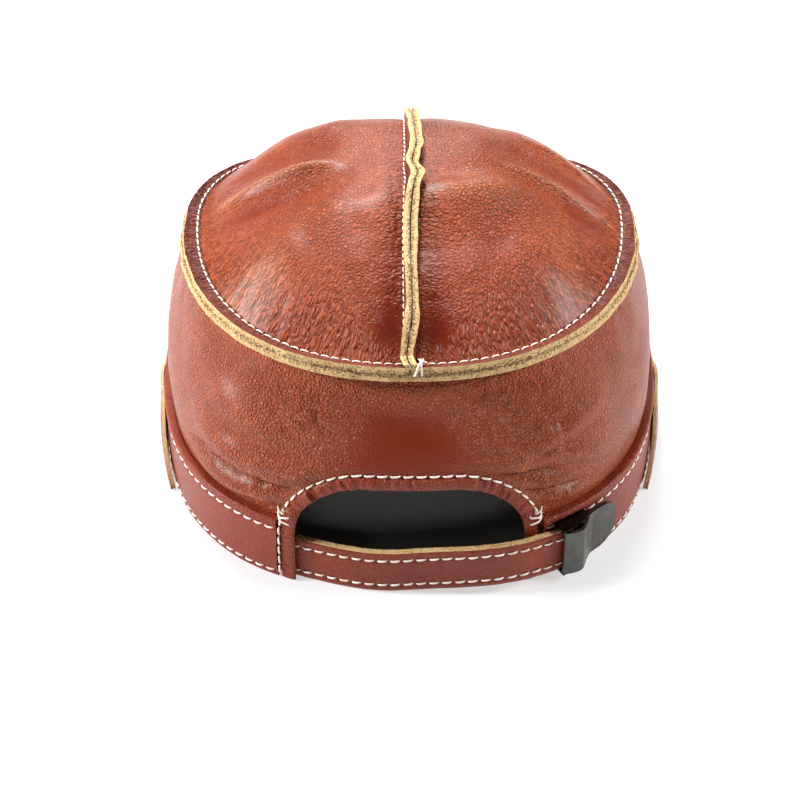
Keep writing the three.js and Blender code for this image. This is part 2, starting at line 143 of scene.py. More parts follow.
def ripple(first: np.ndarray, second: np.ndarray, seed: int) -> np.ndarray:
    """Smooth random heights over a plane, the same on every run.

    Args:
        first: First coordinate, one random knot for each whole number.
        second: Second coordinate, likewise.
        seed: Picks one of many surfaces.

    Returns:
        Heights between -1 and 1.
    """
    first, second = np.broadcast_arrays(np.asarray(first, float), np.asarray(second, float))
    base_first, base_second = np.floor(first), np.floor(second)
    step_first, step_second = first - base_first, second - base_second
    step_first = step_first * step_first * (3.0 - 2.0 * step_first)
    step_second = step_second * step_second * (3.0 - 2.0 * step_second)

    def knot(ahead_first: int, ahead_second: int) -> np.ndarray:
        """Random height of one knot beside each place."""
        mixed = (base_first + ahead_first) * 127.1 + (base_second + ahead_second) * 311.7
        return 2.0 * np.modf(np.abs(np.sin(mixed + seed * 74.7) * 43758.5453))[0] - 1.0

    near = knot(0, 0) * (1.0 - step_first) + knot(1, 0) * step_first
    far = knot(0, 1) * (1.0 - step_first) + knot(1, 1) * step_first
    return near * (1.0 - step_second) + far * step_second


def unit(vectors: np.ndarray) -> np.ndarray:
    """Scale each vector to a length of 1."""
    length = np.linalg.norm(vectors, axis=-1, keepdims=True)
    return vectors / np.maximum(length, 1e-9)


def facing(grid: np.ndarray, towards: np.ndarray) -> np.ndarray:
    """Normals of a grid of points.

    Args:
        grid: Points, as rows, columns and coordinates.
        towards: One vector for each point that its normal should agree with.

    Returns:
        One unit normal for each point.
    """
    down, across = np.gradient(grid, axis=0), np.gradient(grid, axis=1)
    normal = unit(np.cross(down, across))
    flip = np.sign(np.sum(normal * towards, axis=-1, keepdims=True))
    return normal * np.where(flip == 0, 1.0, flip)


# Finishes


def add_node(
    tree: bpy.types.NodeTree, kind: str, inputs: dict | None = None, **settings: object
) -> bpy.types.Node:
    """Add a shader node with its settings and links.

    Args:
        tree: The material's node tree.
        kind: Blender's name of the node type.
        inputs: A value, or the socket to link from, for each input by name or number.
        settings: Properties of the node.

    Returns:
        The new node.
    """
    node = tree.nodes.new(kind)
    for name, value in settings.items():
        setattr(node, name, value)
    for name, value in (inputs or {}).items():
        if isinstance(value, bpy.types.NodeSocket):
            tree.links.new(value, node.inputs[name])
        else:
            node.inputs[name].default_value = value
    return node


def new_material(name: str) -> tuple[bpy.types.Material, bpy.types.NodeTree, bpy.types.Node]:
    """Make an empty material.

    Args:
        name: The material's name.

    Returns:
        The material, its node tree and its surface shader.
    """
    material = bpy.data.materials.new(name)
    material.use_nodes = True
    tree = material.node_tree
    return material, tree, tree.nodes["Principled BSDF"]


def set_shader(tree: bpy.types.NodeTree, shader: bpy.types.Node, inputs: dict) -> None:
    """Give a surface shader its values and links by input name."""
    for name, value in inputs.items():
        if isinstance(value, bpy.types.NodeSocket):
            tree.links.new(value, shader.inputs[name])
        else:
            shader.inputs[name].default_value = value


@dataclass(frozen=True)
class GrainLeather:
    """Full-grain cowhide, drum-milled so that it breaks into pebbles, then wax-polished.

    The milling gives a net of fine creases between glossy pebbles. Where a seam pulls on it, the
    pebbles stretch into creases that run straight to the seam.
    """

    name: str
    colour: str = "#9F4218"
    worn: str = "#B85C2C"
    # Colour of the painted highlight on crests.
    wear_and_highlight: str = "#D2905F"
    # Colour of the painted shade on the patches that are drawn smooth.
    smoothing_and_painted_light: str = "#641A08"
    # Colour of the painted shade in the creases between pebbles.
    crease: str = "#43120A"
    # How dark that painted shade in the creases gets.
    crease_shade: float = 0.45
    pebble: float = 1.35
    pull_width: float = 1.25
    pull_length: float = 2.5
    relief: float = 0.8
    strength: float = 1.0
    roughness: float = 0.4
    gloss: float = 0.35

    def build(self) -> bpy.types.Material:
        """Make the material, with its pebbles sized in millimetres."""
        material, tree, shader = new_material(self.name)
        place = add_node(tree, "ShaderNodeTexCoord").outputs["Object"]
        drift = add_node(
            tree, "ShaderNodeTexNoise", {"Vector": place, "Scale": 1000 / 5.0, "Detail": 2.0}
        )
        shifted = add_node(
            tree,
            "ShaderNodeVectorMath",
            {0: drift.outputs["Color"], 1: (0.5, 0.5, 0.5)},
            operation="SUBTRACT",
        )
        bent = add_node(
            tree,
            "ShaderNodeVectorMath",
            {0: shifted.outputs[0], 1: (0.0016,) * 3, 2: place},
            operation="MULTIPLY_ADD",
        ).outputs[0]
        pebbles = add_node(
            tree,
            "ShaderNodeTexVoronoi",
            {"Vector": bent, "Scale": 1000 / self.pebble, "Randomness": 0.9},
            feature="DISTANCE_TO_EDGE",
        )
        domed = add_node(
            tree,
            "ShaderNodeMapRange",
            {"Value": pebbles.outputs["Distance"], "From Max": 0.3},
            interpolation_type="SMOOTHSTEP",
        ).outputs["Result"]
        way = add_node(tree, "ShaderNodeAttribute", attribute_name="way")
        stretched = add_node(
            tree,
            "ShaderNodeVectorMath",
            {0: way.outputs["Vector"], 1: (1 / self.pull_width, 1 / self.pull_length, 1.0)},
            operation="MULTIPLY",
        )
        wander = add_node(
            tree,
            "ShaderNodeVectorMath",
            {0: shifted.outputs[0], 1: (1.3, 0.7, 0.0), 2: stretched.outputs[0]},
            operation="MULTIPLY_ADD",
        )
        creases = add_node(
            tree,
            "ShaderNodeTexVoronoi",
            {"Vector": wander.outputs[0], "Scale": 1.0},
            feature="DISTANCE_TO_EDGE",
        )
        ridged = add_node(
            tree,
            "ShaderNodeMapRange",
            {"Value": creases.outputs["Distance"], "From Max": 0.32},
            interpolation_type="SMOOTHSTEP",
        ).outputs["Result"]
        drawn = add_node(
            tree,
            "ShaderNodeTexNoise",
            {"Vector": wander.outputs[0], "Scale": 0.7, "Detail": 2.0},
        ).outputs["Fac"]
        gathers = add_node(
            tree,
            "ShaderNodeMapRange",
            {"Value": drawn, "From Min": 0.3, "From Max": 0.7, "To Min": -0.4, "To Max": 0.5},
        ).outputs["Result"]
        ridged = add_node(
            tree, "ShaderNodeMath", {0: ridged, 1: gathers}, operation="ADD"
        ).outputs[0]
        pull = add_node(tree, "ShaderNodeAttribute", attribute_name="pull").outputs["Fac"]
        relief = add_node(
            tree, "ShaderNodeMix", {0: pull, 2: domed, 3: ridged}, data_type="FLOAT"
        ).outputs[0]
        pores = add_node(
            tree, "ShaderNodeTexNoise", {"Vector": place, "Scale": 1000 / 0.55, "Detail": 3.0}
        ).outputs["Fac"]
        # Per point: above 0 the leather is drawn smooth and painted darker as shade, below 0 a crest is
        # painted paler as a highlight.
        smoothing_and_painted_light = add_node(tree, "ShaderNodeAttribute", attribute_name="smoothing_and_painted_light").outputs["Fac"]
        flatter = add_node(
            tree, "ShaderNodeMapRange", {"Value": smoothing_and_painted_light, "To Min": 1.0, "To Max": 0.03}
        ).outputs["Result"]
        grained = add_node(
            tree, "ShaderNodeMath", {0: pores, 1: 0.25, 2: relief}, operation="MULTIPLY_ADD"
        ).outputs[0]
        height = add_node(
            tree, "ShaderNodeMath", {0: grained, 1: flatter}, operation="MULTIPLY"
        ).outputs[0]
        bump = add_node(
            tree,
            "ShaderNodeBump",
            {
                "Height": height,
                "Strength": self.strength,
                "Distance": self.relief * MILLIMETRE,
            },
        )
        mottle = add_node(
            tree, "ShaderNodeTexNoise", {"Vector": place, "Scale": 1000 / 24, "Detail": 4.0}
        ).outputs["Fac"]
        # Random patches where the hide is worn paler.
        wear_and_highlight = add_node(
            tree,
            "ShaderNodeMapRange",
            {"Value": mottle, "From Min": 0.4, "From Max": 0.7, "To Max": 0.55},
        ).outputs["Result"]
        hide = add_node(
            tree,
            "ShaderNodeMix",
            {0: wear_and_highlight, 6: linear(self.colour), 7: linear(self.worn)},
            data_type="RGBA",
        ).outputs[2]
        # Painted highlight: crests turn paler where the attribute is below 0.
        crest = add_node(
            tree, "ShaderNodeMapRange", {"Value": smoothing_and_painted_light, "From Max": -1.0, "To Max": 0.6}
        ).outputs["Result"]
        with_painted_highlight = add_node(
            tree,
            "ShaderNodeMix",
            {0: crest, 6: hide, 7: linear(self.wear_and_highlight)},
            data_type="RGBA",
        ).outputs[2]
        # Painted shade: patches drawn smooth turn darker where the attribute is above 0.
        sunk = add_node(tree, "ShaderNodeMapRange", {"Value": smoothing_and_painted_light}).outputs["Result"]
        with_painted_shade = add_node(
            tree,
            "ShaderNodeMix",
            {0: sunk, 6: with_painted_highlight, 7: linear(self.smoothing_and_painted_light)},
            data_type="RGBA",
        ).outputs[2]
        # Painted shade in the creases between pebbles, weaker where the leather is drawn smooth.
        crease_shade_mask = add_node(
            tree,
            "ShaderNodeMapRange",
            {"Value": relief, "From Max": 0.6, "To Min": self.crease_shade, "To Max": 0.0},
        ).outputs["Result"]
        seen = add_node(
            tree, "ShaderNodeMath", {0: crease_shade_mask, 1: flatter}, operation="MULTIPLY"
        ).outputs[0]
        # The leather's colour with the painted shade mixed into its creases.
        dyed = add_node(
            tree,
            "ShaderNodeMix",
            {0: seen, 6: with_painted_shade, 7: linear(self.crease)},
            data_type="RGBA",
        ).outputs[2]
        matt = add_node(
            tree, "ShaderNodeMapRange", {"Value": smoothing_and_painted_light, "To Min": self.gloss, "To Max": 0.0}
        ).outputs["Result"]
        polish = add_node(
            tree,
            "ShaderNodeMapRange",
            {
                "Value": mottle,
                "To Min": self.roughness - 0.07,
                "To Max": self.roughness + 0.09,
            },
        ).outputs["Result"]
        set_shader(
            tree,
            shader,
            {
                "Base Color": dyed,
                "Roughness": polish,
                "Normal": bump.outputs["Normal"],
                "IOR": 1.5,
                "Specular IOR Level": 0.3,
                "Coat Weight": matt,
                "Coat Roughness": 0.36,
            },
        )
        return material


@dataclass(frozen=True)
class CutEdge:
    """Cut edge of vegetable-tanned hide, left raw.

    The knife opens the fibres, so that the edge is a dry straw yellow with dark pits between
    the bundles of fibre.
    """

    name: str = "cut leather edge"
    colour: str = "#C99C66"
    pale: str = "#E8CB98"
    pit: str = "#4E3210"
    fibre: float = 0.62

    def build(self) -> bpy.types.Material:
        """Make the material, with its fibre bundles sized in millimetres."""
        material, tree, shader = new_material(self.name)
        place = add_node(tree, "ShaderNodeTexCoord").outputs["Object"]
        fuzz = add_node(
            tree,
            "ShaderNodeTexNoise",
            {"Vector": place, "Scale": 1000 / self.fibre, "Detail": 3.0, "Roughness": 0.65},
        ).outputs["Fac"]
        patch = add_node(
            tree, "ShaderNodeTexNoise", {"Vector": place, "Scale": 1000 / 4.0, "Detail": 2.0}
        ).outputs["Fac"]
        way = add_node(tree, "ShaderNodeAttribute", attribute_name="way").outputs["Vector"]
        depth = add_node(tree, "ShaderNodeSeparateXYZ", {0: way}).outputs["Z"]
        open_fibre = add_node(
            tree, "ShaderNodeMapRange", {"Value": depth, "From Min": 0.3, "To Max": -0.15}
        ).outputs["Result"]
        loose = add_node(
            tree, "ShaderNodeMath", {0: fuzz, 1: open_fibre}, operation="ADD"
        ).outputs[0]
        pitted = add_node(
            tree,
            "ShaderNodeMapRange",
            {"Value": loose, "From Min": 0.46, "From Max": 0.34, "To Max": 0.85},
        ).outputs["Result"]
        straw = add_node(
            tree,
            "ShaderNodeMix",
            {0: patch, 6: linear(self.colour), 7: linear(self.pale)},
            data_type="RGBA",
        ).outputs[2]
        colour = add_node(
            tree,
            "ShaderNodeMix",
            {0: pitted, 6: straw, 7: linear(self.pit)},
            data_type="RGBA",
        ).outputs[2]
        bump = add_node(
            tree,
            "ShaderNodeBump",
            {"Height": fuzz, "Strength": 0.9, "Distance": 0.4 * MILLIMETRE},
        )
        set_shader(
            tree,
            shader,
            {
                "Base Color": colour,
                "Roughness": 0.9,
                "Specular IOR Level": 0.2,
                "Normal": bump.outputs["Normal"],
            },
        )
        return material


@dataclass(frozen=True)
class FleshSide:
    """Flesh side of the hide, buffed to a short nap that scatters light like suede."""

    name: str = "suede flesh side"
    colour: str = "#8A5A3C"
    nap: float = 0.9

    def build(self) -> bpy.types.Material:
        """Make the material, with its nap sized in millimetres."""
        material, tree, shader = new_material(self.name)
        place = add_node(tree, "ShaderNodeTexCoord").outputs["Object"]
        nap = add_node(
            tree,
            "ShaderNodeTexNoise",
            {"Vector": place, "Scale": 1000 / self.nap, "Detail": 4.0},
        ).outputs["Fac"]
        colour = add_node(
            tree,
            "ShaderNodeMix",
            {0: nap, 6: linear("#6E4630"), 7: linear(self.colour)},
            data_type="RGBA",
        ).outputs[2]
        bump = add_node(
            tree, "ShaderNodeBump", {"Height": nap, "Strength": 0.5, "Distance": 0.0003}
        )
        set_shader(
            tree,
            shader,
            {
                "Base Color": colour,
                "Roughness": 0.92,
                "Sheen Weight": 0.35,
                "Normal": bump.outputs["Normal"],
            },
        )
        return material


@dataclass(frozen=True)
class BondedThread:
    """Bonded nylon sewing thread, twisted from plies, with the low sheen of its bonding."""

    name: str = "bonded thread"
    colour: str = "#FFF8F0"
    shade: str = "#F0D9C8"
    ply: float = 0.5

    def build(self) -> bpy.types.Material:
        """Make the material, with its plies sized in millimetres."""
        material, tree, shader = new_material(self.name)
        place = add_node(tree, "ShaderNodeTexCoord").outputs["Object"]
        plies = add_node(
            tree,
            "ShaderNodeTexWave",
            {"Vector": place, "Scale": 1000 / self.ply / 20, "Distortion": 1.5},
            bands_direction="DIAGONAL",
        ).outputs["Fac"]
        colour = add_node(
            tree,
            "ShaderNodeMix",
            {0: plies, 6: linear(self.shade), 7: linear(self.colour)},
            data_type="RGBA",
        ).outputs[2]
        bump = add_node(
            tree, "ShaderNodeBump", {"Height": plies, "Strength": 0.4, "Distance": 0.0002}
        )
        set_shader(
            tree,
            shader,
            {
                "Base Color": colour,
                "Roughness": 0.55,
                "Sheen Weight": 0.2,
                "Normal": bump.outputs["Normal"],
            },
        )
        return material


@dataclass(frozen=True)
class LiningCloth:
    """Plain-woven polyester lining, piece-dyed almost black and matt.

    Its threads are about 0.3 mm apart, and drawn 0.9 mm apart so that the weave shows.
    """

    name: str = "woven lining"
    colour: str = "#2A2925"
    thread: float = 0.9

    def build(self) -> bpy.types.Material:
        """Make the material, with its weave sized in millimetres."""
        material, tree, shader = new_material(self.name)
        place = add_node(tree, "ShaderNodeTexCoord").outputs["Object"]
        weave = []
        for direction in ("X", "Z"):
            wave = add_node(
                tree,
                "ShaderNodeTexWave",
                {"Vector": place, "Scale": 1000 / self.thread / 20, "Distortion": 0.6},
                bands_direction=direction,
            )
            weave.append(wave.outputs["Fac"])
        crossed = add_node(
            tree, "ShaderNodeMath", {0: weave[0], 1: weave[1]}, operation="MULTIPLY"
        ).outputs[0]
        cloud = add_node(
            tree, "ShaderNodeTexNoise", {"Vector": place, "Scale": 1000 / 9.0, "Detail": 5.0}
        ).outputs["Fac"]
        colour = add_node(
            tree,
            "ShaderNodeMix",
            {0: cloud, 6: linear("#201F1C"), 7: linear(self.colour)},
            data_type="RGBA",
        ).outputs[2]
        bump = add_node(
            tree, "ShaderNodeBump", {"Height": crossed, "Strength": 0.12, "Distance": 0.0001}
        )
        set_shader(
            tree,
            shader,
            {
                "Base Color": colour,
                "Roughness": 0.9,
                "Sheen Weight": 0.1,
                "Normal": bump.outputs["Normal"],
            },
        )
        return material


@dataclass(frozen=True)
class GunmetalPlating:
    """Zinc alloy, die-cast, brushed and plated with black nickel.

    The brushing leaves fine lines that blur its reflections, and the plating rubs to grey.
    """

    name: str
    colour: str = "#403E3B"
    wear_and_highlight: str = "#6A6864"
    roughness: float = 0.33

    def build(self) -> bpy.types.Material:
        """Make the material, with brush marks 0.4 mm apart."""
        material, tree, shader = new_material(self.name)
        place = add_node(tree, "ShaderNodeTexCoord").outputs["Object"]
        drawn = add_node(
            tree, "ShaderNodeMapping", {"Vector": place, "Scale": (2500.0, 2500.0, 90.0)}
        )
        marks = add_node(
            tree, "ShaderNodeTexNoise", {"Vector": drawn.outputs[0], "Scale": 1.0}
        ).outputs["Fac"]
        patch = add_node(
            tree, "ShaderNodeTexNoise", {"Vector": place, "Scale": 1000 / 6.0, "Detail": 3.0}
        ).outputs["Fac"]
        colour = add_node(
            tree,
            "ShaderNodeMix",
            {0: patch, 6: linear(self.colour), 7: linear(self.wear_and_highlight)},
            data_type="RGBA",
        ).outputs[2]
        rough = add_node(
            tree,
            "ShaderNodeMapRange",
            {"Value": marks, "To Min": self.roughness - 0.08, "To Max": self.roughness + 0.1},
        ).outputs["Result"]
        bump = add_node(
            tree, "ShaderNodeBump", {"Height": marks, "Strength": 0.15, "Distance": 0.0001}
        )
        set_shader(
            tree,
            shader,
            {
                "Base Color": colour,
                "Metallic": 1.0,
                "Roughness": rough,
                "Normal": bump.outputs["Normal"],
            },
        )
        return material


@dataclass
class FinishSet:
    """Every finish of the cap, built once."""

    crown: bpy.types.Material = field(init=False)
    painted_shade_grain: bpy.types.Material = field(init=False)
    wall: bpy.types.Material = field(init=False)
    band: bpy.types.Material = field(init=False)
    cut: bpy.types.Material = field(init=False)
    flesh: bpy.types.Material = field(init=False)
    thread: bpy.types.Material = field(init=False)
    cloth: bpy.types.Material = field(init=False)
    lever: bpy.types.Material = field(init=False)
    frame: bpy.types.Material = field(init=False)

    def __post_init__(self) -> None:
        """Build the materials."""
        self.crown = GrainLeather("pebbled cowhide").build()
        # A darker copy of the crown leather: painted shade on the loop seam's flange and on the sides
        # of the standing centre seam.
        self.painted_shade_grain = GrainLeather(
            "pinched cowhide", colour="#7A2C18", worn="#8E3E26", crease="#240A06", gloss=0.2
        ).build()
        # Its darker colours are painted shade, in the creases and on the smooth middle of the back.
        self.wall = GrainLeather(
            "boarded cowhide",
            colour="#A8481D",
            worn="#BA5E34",
            smoothing_and_painted_light="#7A280C",
            crease="#5E1E0E",
            crease_shade=0.3,
            pebble=1.25,
            relief=0.85,
            roughness=0.42,
            gloss=0.3,
        ).build()
        self.band = GrainLeather(
            "smooth cowhide",
            colour="#862C12",
            worn="#98401E",
            crease_shade=0.22,
            pebble=1.1,
            relief=0.3,
            strength=0.7,
            roughness=0.4,
            gloss=0.15,
        ).build()
        self.cut = CutEdge().build()
        self.flesh = FleshSide().build()
        self.thread = BondedThread().build()
        self.cloth = LiningCloth().build()
        self.lever = GunmetalPlating("brushed gunmetal").build()
        self.frame = GunmetalPlating(
            "dark gunmetal", colour="#242423", wear_and_highlight="#343432", roughness=0.26
        ).build()

    def hide(self, grain: bpy.types.Material) -> list[bpy.types.Material]:
        """The finishes of one layer of leather, in the order of Face."""
        return [grain, self.flesh, self.cut, self.painted_shade_grain]


# Shape of the whole cap


@dataclass(frozen=True)
class Fold:
    """One fold or dent of soft leather, on a piece's own two directions in millimetres.

    It is placed by its middle, reaches to both sides of it along its turn, and rises by its
    rise, or sinks where that is negative.
    """

    across: float
    along: float
    reach: float
    width: float
    turn: float
    rise: float
    bend: float = 0.0

    def height(self, across: np.ndarray, along: np.ndarray) -> np.ndarray:
        """How far the fold lifts each place."""
        turn = math.radians(self.turn)
        ahead = (across - self.across) * math.cos(turn) + (along - self.along) * math.sin(turn)
        aside = (along - self.along) * math.cos(turn) - (across - self.across) * math.sin(turn)
        aside = aside - self.bend * ahead**2
        return self.rise * np.exp(-((ahead / self.reach) ** 4) - (aside / self.width) ** 2)


@dataclass(frozen=True)
class CapForm:
    """Named sizes and plan curves that the cap's pieces share, in millimetres."""

    leather: float = 1.9
    seam_gap: float = 0.3
    rim_half_width: float = 88.2
    rim_back: float = 97.8
    rim_front: float = 99.5
    rim_squareness: float = 2.44
    band_height: float = 26.3
    band_thickness: float = 2.2
    lip_height: float = 2.4
    lip_proud: float = 0.8
    front_lift: float = 12.0
    lift_start: float = 95.0
    loop_half_width: float = 73.2
    loop_back: float = 77.0
    loop_front: float = 62.0
    loop_square_back: float = 2.36
    loop_square_front: float = 1.93
    loop_height_back: float = 84.0
    loop_height_side: float = 89.5
    loop_height_front: float = 68.0
    loop_fall: float = 3.0
    flange_reach: float = 6.4
    flange_tilt: float = 14.0
    wall_lean: float = 2.0
    wall_belly: float = 2.2
    wall_allowance: float = 8.0
    crown_top: float = 119.6
    dome_side: float = 2.35
    dome_end: float = 2.59
    opening_half_width: float = 39.2
    opening_top: float = 44.4
    opening_corner: float = 24.4
    binding_width: float = 5.2
    binding_proud: float = 1.4

    def oval(
        self, azimuth: np.ndarray, half_width: float, ends: tuple[float, float], power: object
    ) -> np.ndarray:
        """Radius of a squared oval.

        Args:
            azimuth: Directions, in radians from the middle of the back.
            half_width: The oval's reach to the side.
            ends: Its reach to the back and to the front.
            power: Its squareness.

        Returns:
            The radius in each direction.
        """
        half_length = np.where(np.cos(azimuth) > 0, ends[0], ends[1])
        across = np.abs(np.sin(azimuth)) / half_width
        along = np.abs(np.cos(azimuth)) / half_length
        return (across**power + along**power) ** (-1.0 / power)

    def rim_radius(self, azimuth: np.ndarray) -> np.ndarray:
        """Radius of the headband's outer face."""
        ends = (self.rim_back, self.rim_front)
        return self.oval(azimuth, self.rim_half_width, ends, self.rim_squareness)

    def rim_height(self, azimuth: np.ndarray) -> np.ndarray:
        """Height of the rim, which rises towards the front."""
        start = math.radians(self.lift_start)
        share = np.clip((np.arccos(np.cos(azimuth)) - start) / (math.pi - start), 0.0, None)
        return self.front_lift * (1.0 - np.cos(np.pi * share)) / 2.0

    def loop_radius(self, azimuth: np.ndarray) -> np.ndarray:
        """Radius of the seam between the top panels and the side wall."""
        power = np.where(np.cos(azimuth) > 0, self.loop_square_back, self.loop_square_front)
        return self.oval(azimuth, self.loop_half_width, (self.loop_back, self.loop_front), power)

    def loop_height(self, azimuth: np.ndarray) -> np.ndarray:
        """Height of that seam."""
        along = np.cos(azimuth)
        back = self.loop_height_side + (self.loop_height_back - self.loop_height_side) * along**2
        fall = self.loop_height_front - self.loop_height_side
        front = self.loop_height_side + fall * np.abs(along) ** self.loop_fall
        return np.where(along > 0, back, front)

    def place(self, azimuth: np.ndarray, radius: np.ndarray, height: np.ndarray) -> np.ndarray:
        """Points at given azimuths, radii and heights."""
        azimuth, radius, height = np.broadcast_arrays(azimuth, radius, height)
        return np.stack([radius * np.sin(azimuth), -radius * np.cos(azimuth), height], axis=-1)

    def azimuth_across(self, radius_at: object, across: np.ndarray) -> np.ndarray:
        """Find where a plan curve at the back lies a given distance to the side.

        Args:
            radius_at: Gives the curve's radius at an azimuth.
            across: The distances to the side.

        Returns:
            The azimuths.
        """
        across = np.asarray(across, float)
        low = np.full(across.shape, -math.pi / 2)
        high = np.full(across.shape, math.pi / 2)
        for _ in range(40):
            middle = (low + high) / 2
            short = radius_at(middle) * np.sin(middle) < across
            low, high = np.where(short, middle, low), np.where(short, high, middle)
        return (low + high) / 2

    def seam_line(self, azimuth: np.ndarray) -> tuple[np.ndarray, np.ndarray]:
        """Radius and height where the two leathers of the loop seam meet."""
        drop = (self.leather + self.seam_gap / 2) / math.cos(math.radians(self.flange_tilt))
        return self.loop_radius(azimuth), self.loop_height(azimuth) - drop

    def seam_tilt(self, azimuth: np.ndarray) -> np.ndarray:
        """Angle at which the loop seam's flange stands, in radians, steepest at the back."""
        turned = np.arctan2(np.sin(azimuth), np.cos(azimuth))
        return np.radians(self.flange_tilt + 9.0 * np.exp(-((turned / 1.0) ** 2)))

    def seam_reach(self, azimuth: np.ndarray) -> np.ndarray:
        """Width of that flange, which is trimmed closer towards the front."""
        turned = np.abs(np.arctan2(np.sin(azimuth), np.cos(azimuth)))
        return self.flange_reach * (1.0 - 0.56 * rise_between(turned, 1.15, 2.25))

    def wall_inner(self, azimuth: np.ndarray, up: np.ndarray) -> tuple[np.ndarray, np.ndarray]:
        """Radius and height of the side wall's inner face.

        Args:
            azimuth: Directions, in radians.
            up: Shares of the way from the headband's top to the loop seam, or below 0 for the
                allowance inside the headband.

        Returns:
            The radii and heights.
        """
        foot = self.rim_radius(azimuth) - self.band_thickness - self.seam_gap - self.leather
        seam_radius, seam_height = self.seam_line(azimuth)
        base = self.rim_height(azimuth) + self.band_height
        above = np.clip(up, 0.0, None)
        belly = self.wall_belly * np.sin(np.pi * np.clip(above, 0, 1))
        radius = foot + (seam_radius - foot) * above**self.wall_lean + belly
        return radius, base + (seam_height - base) * up

    def wall_radius(self, azimuth: np.ndarray, height: np.ndarray) -> np.ndarray:
        """Radius of the side wall's inner face at a height."""
        base = self.rim_height(azimuth) + self.band_height
        top = self.seam_line(azimuth)[1]
        return self.wall_inner(azimuth, np.clip((height - base) / (top - base), 0.0, 1.0))[0]

    def arc_speed(self, azimuth: float) -> float:
        """Millimetres along the rim for one radian at an azimuth."""
        step = 0.001
        turned = np.array([azimuth - step, azimuth + step])
        ends = self.place(turned, self.rim_radius(turned), 0.0)
        return float(np.linalg.norm(ends[1] - ends[0]) / (2 * step))

    def arch(self, margin: float, bottom: float, step: float) -> np.ndarray:
        """Outline of the rear opening, grown outwards by a margin.

        Args:
            margin: How far outside the opening the line runs.
            bottom: Height of its two feet.
            step: Distance between its points.

        Returns:
            Points as x and z, from the left foot over the top to the right foot.
        """
        half, corner = self.opening_half_width + margin, self.opening_corner + margin
        top = self.opening_top + margin
        angles = np.linspace(math.pi, math.pi / 2, 40)
        bend = np.stack(
            [-half + corner + corner * np.cos(angles), top - corner + corner * np.sin(angles)],
            axis=-1,
        )
        left = np.concatenate([[[-half, bottom]], bend])
        line = np.concatenate([left, (left * [-1, 1])[::-1]])
        along = np.concatenate([[0], np.cumsum(np.linalg.norm(np.diff(line, axis=0), axis=1))])
        at = np.linspace(0, along[-1], int(along[-1] / step) + 1)
        return np.stack([np.interp(at, along, line[:, 0]), np.interp(at, along, line[:, 1])], -1)


# Drawing


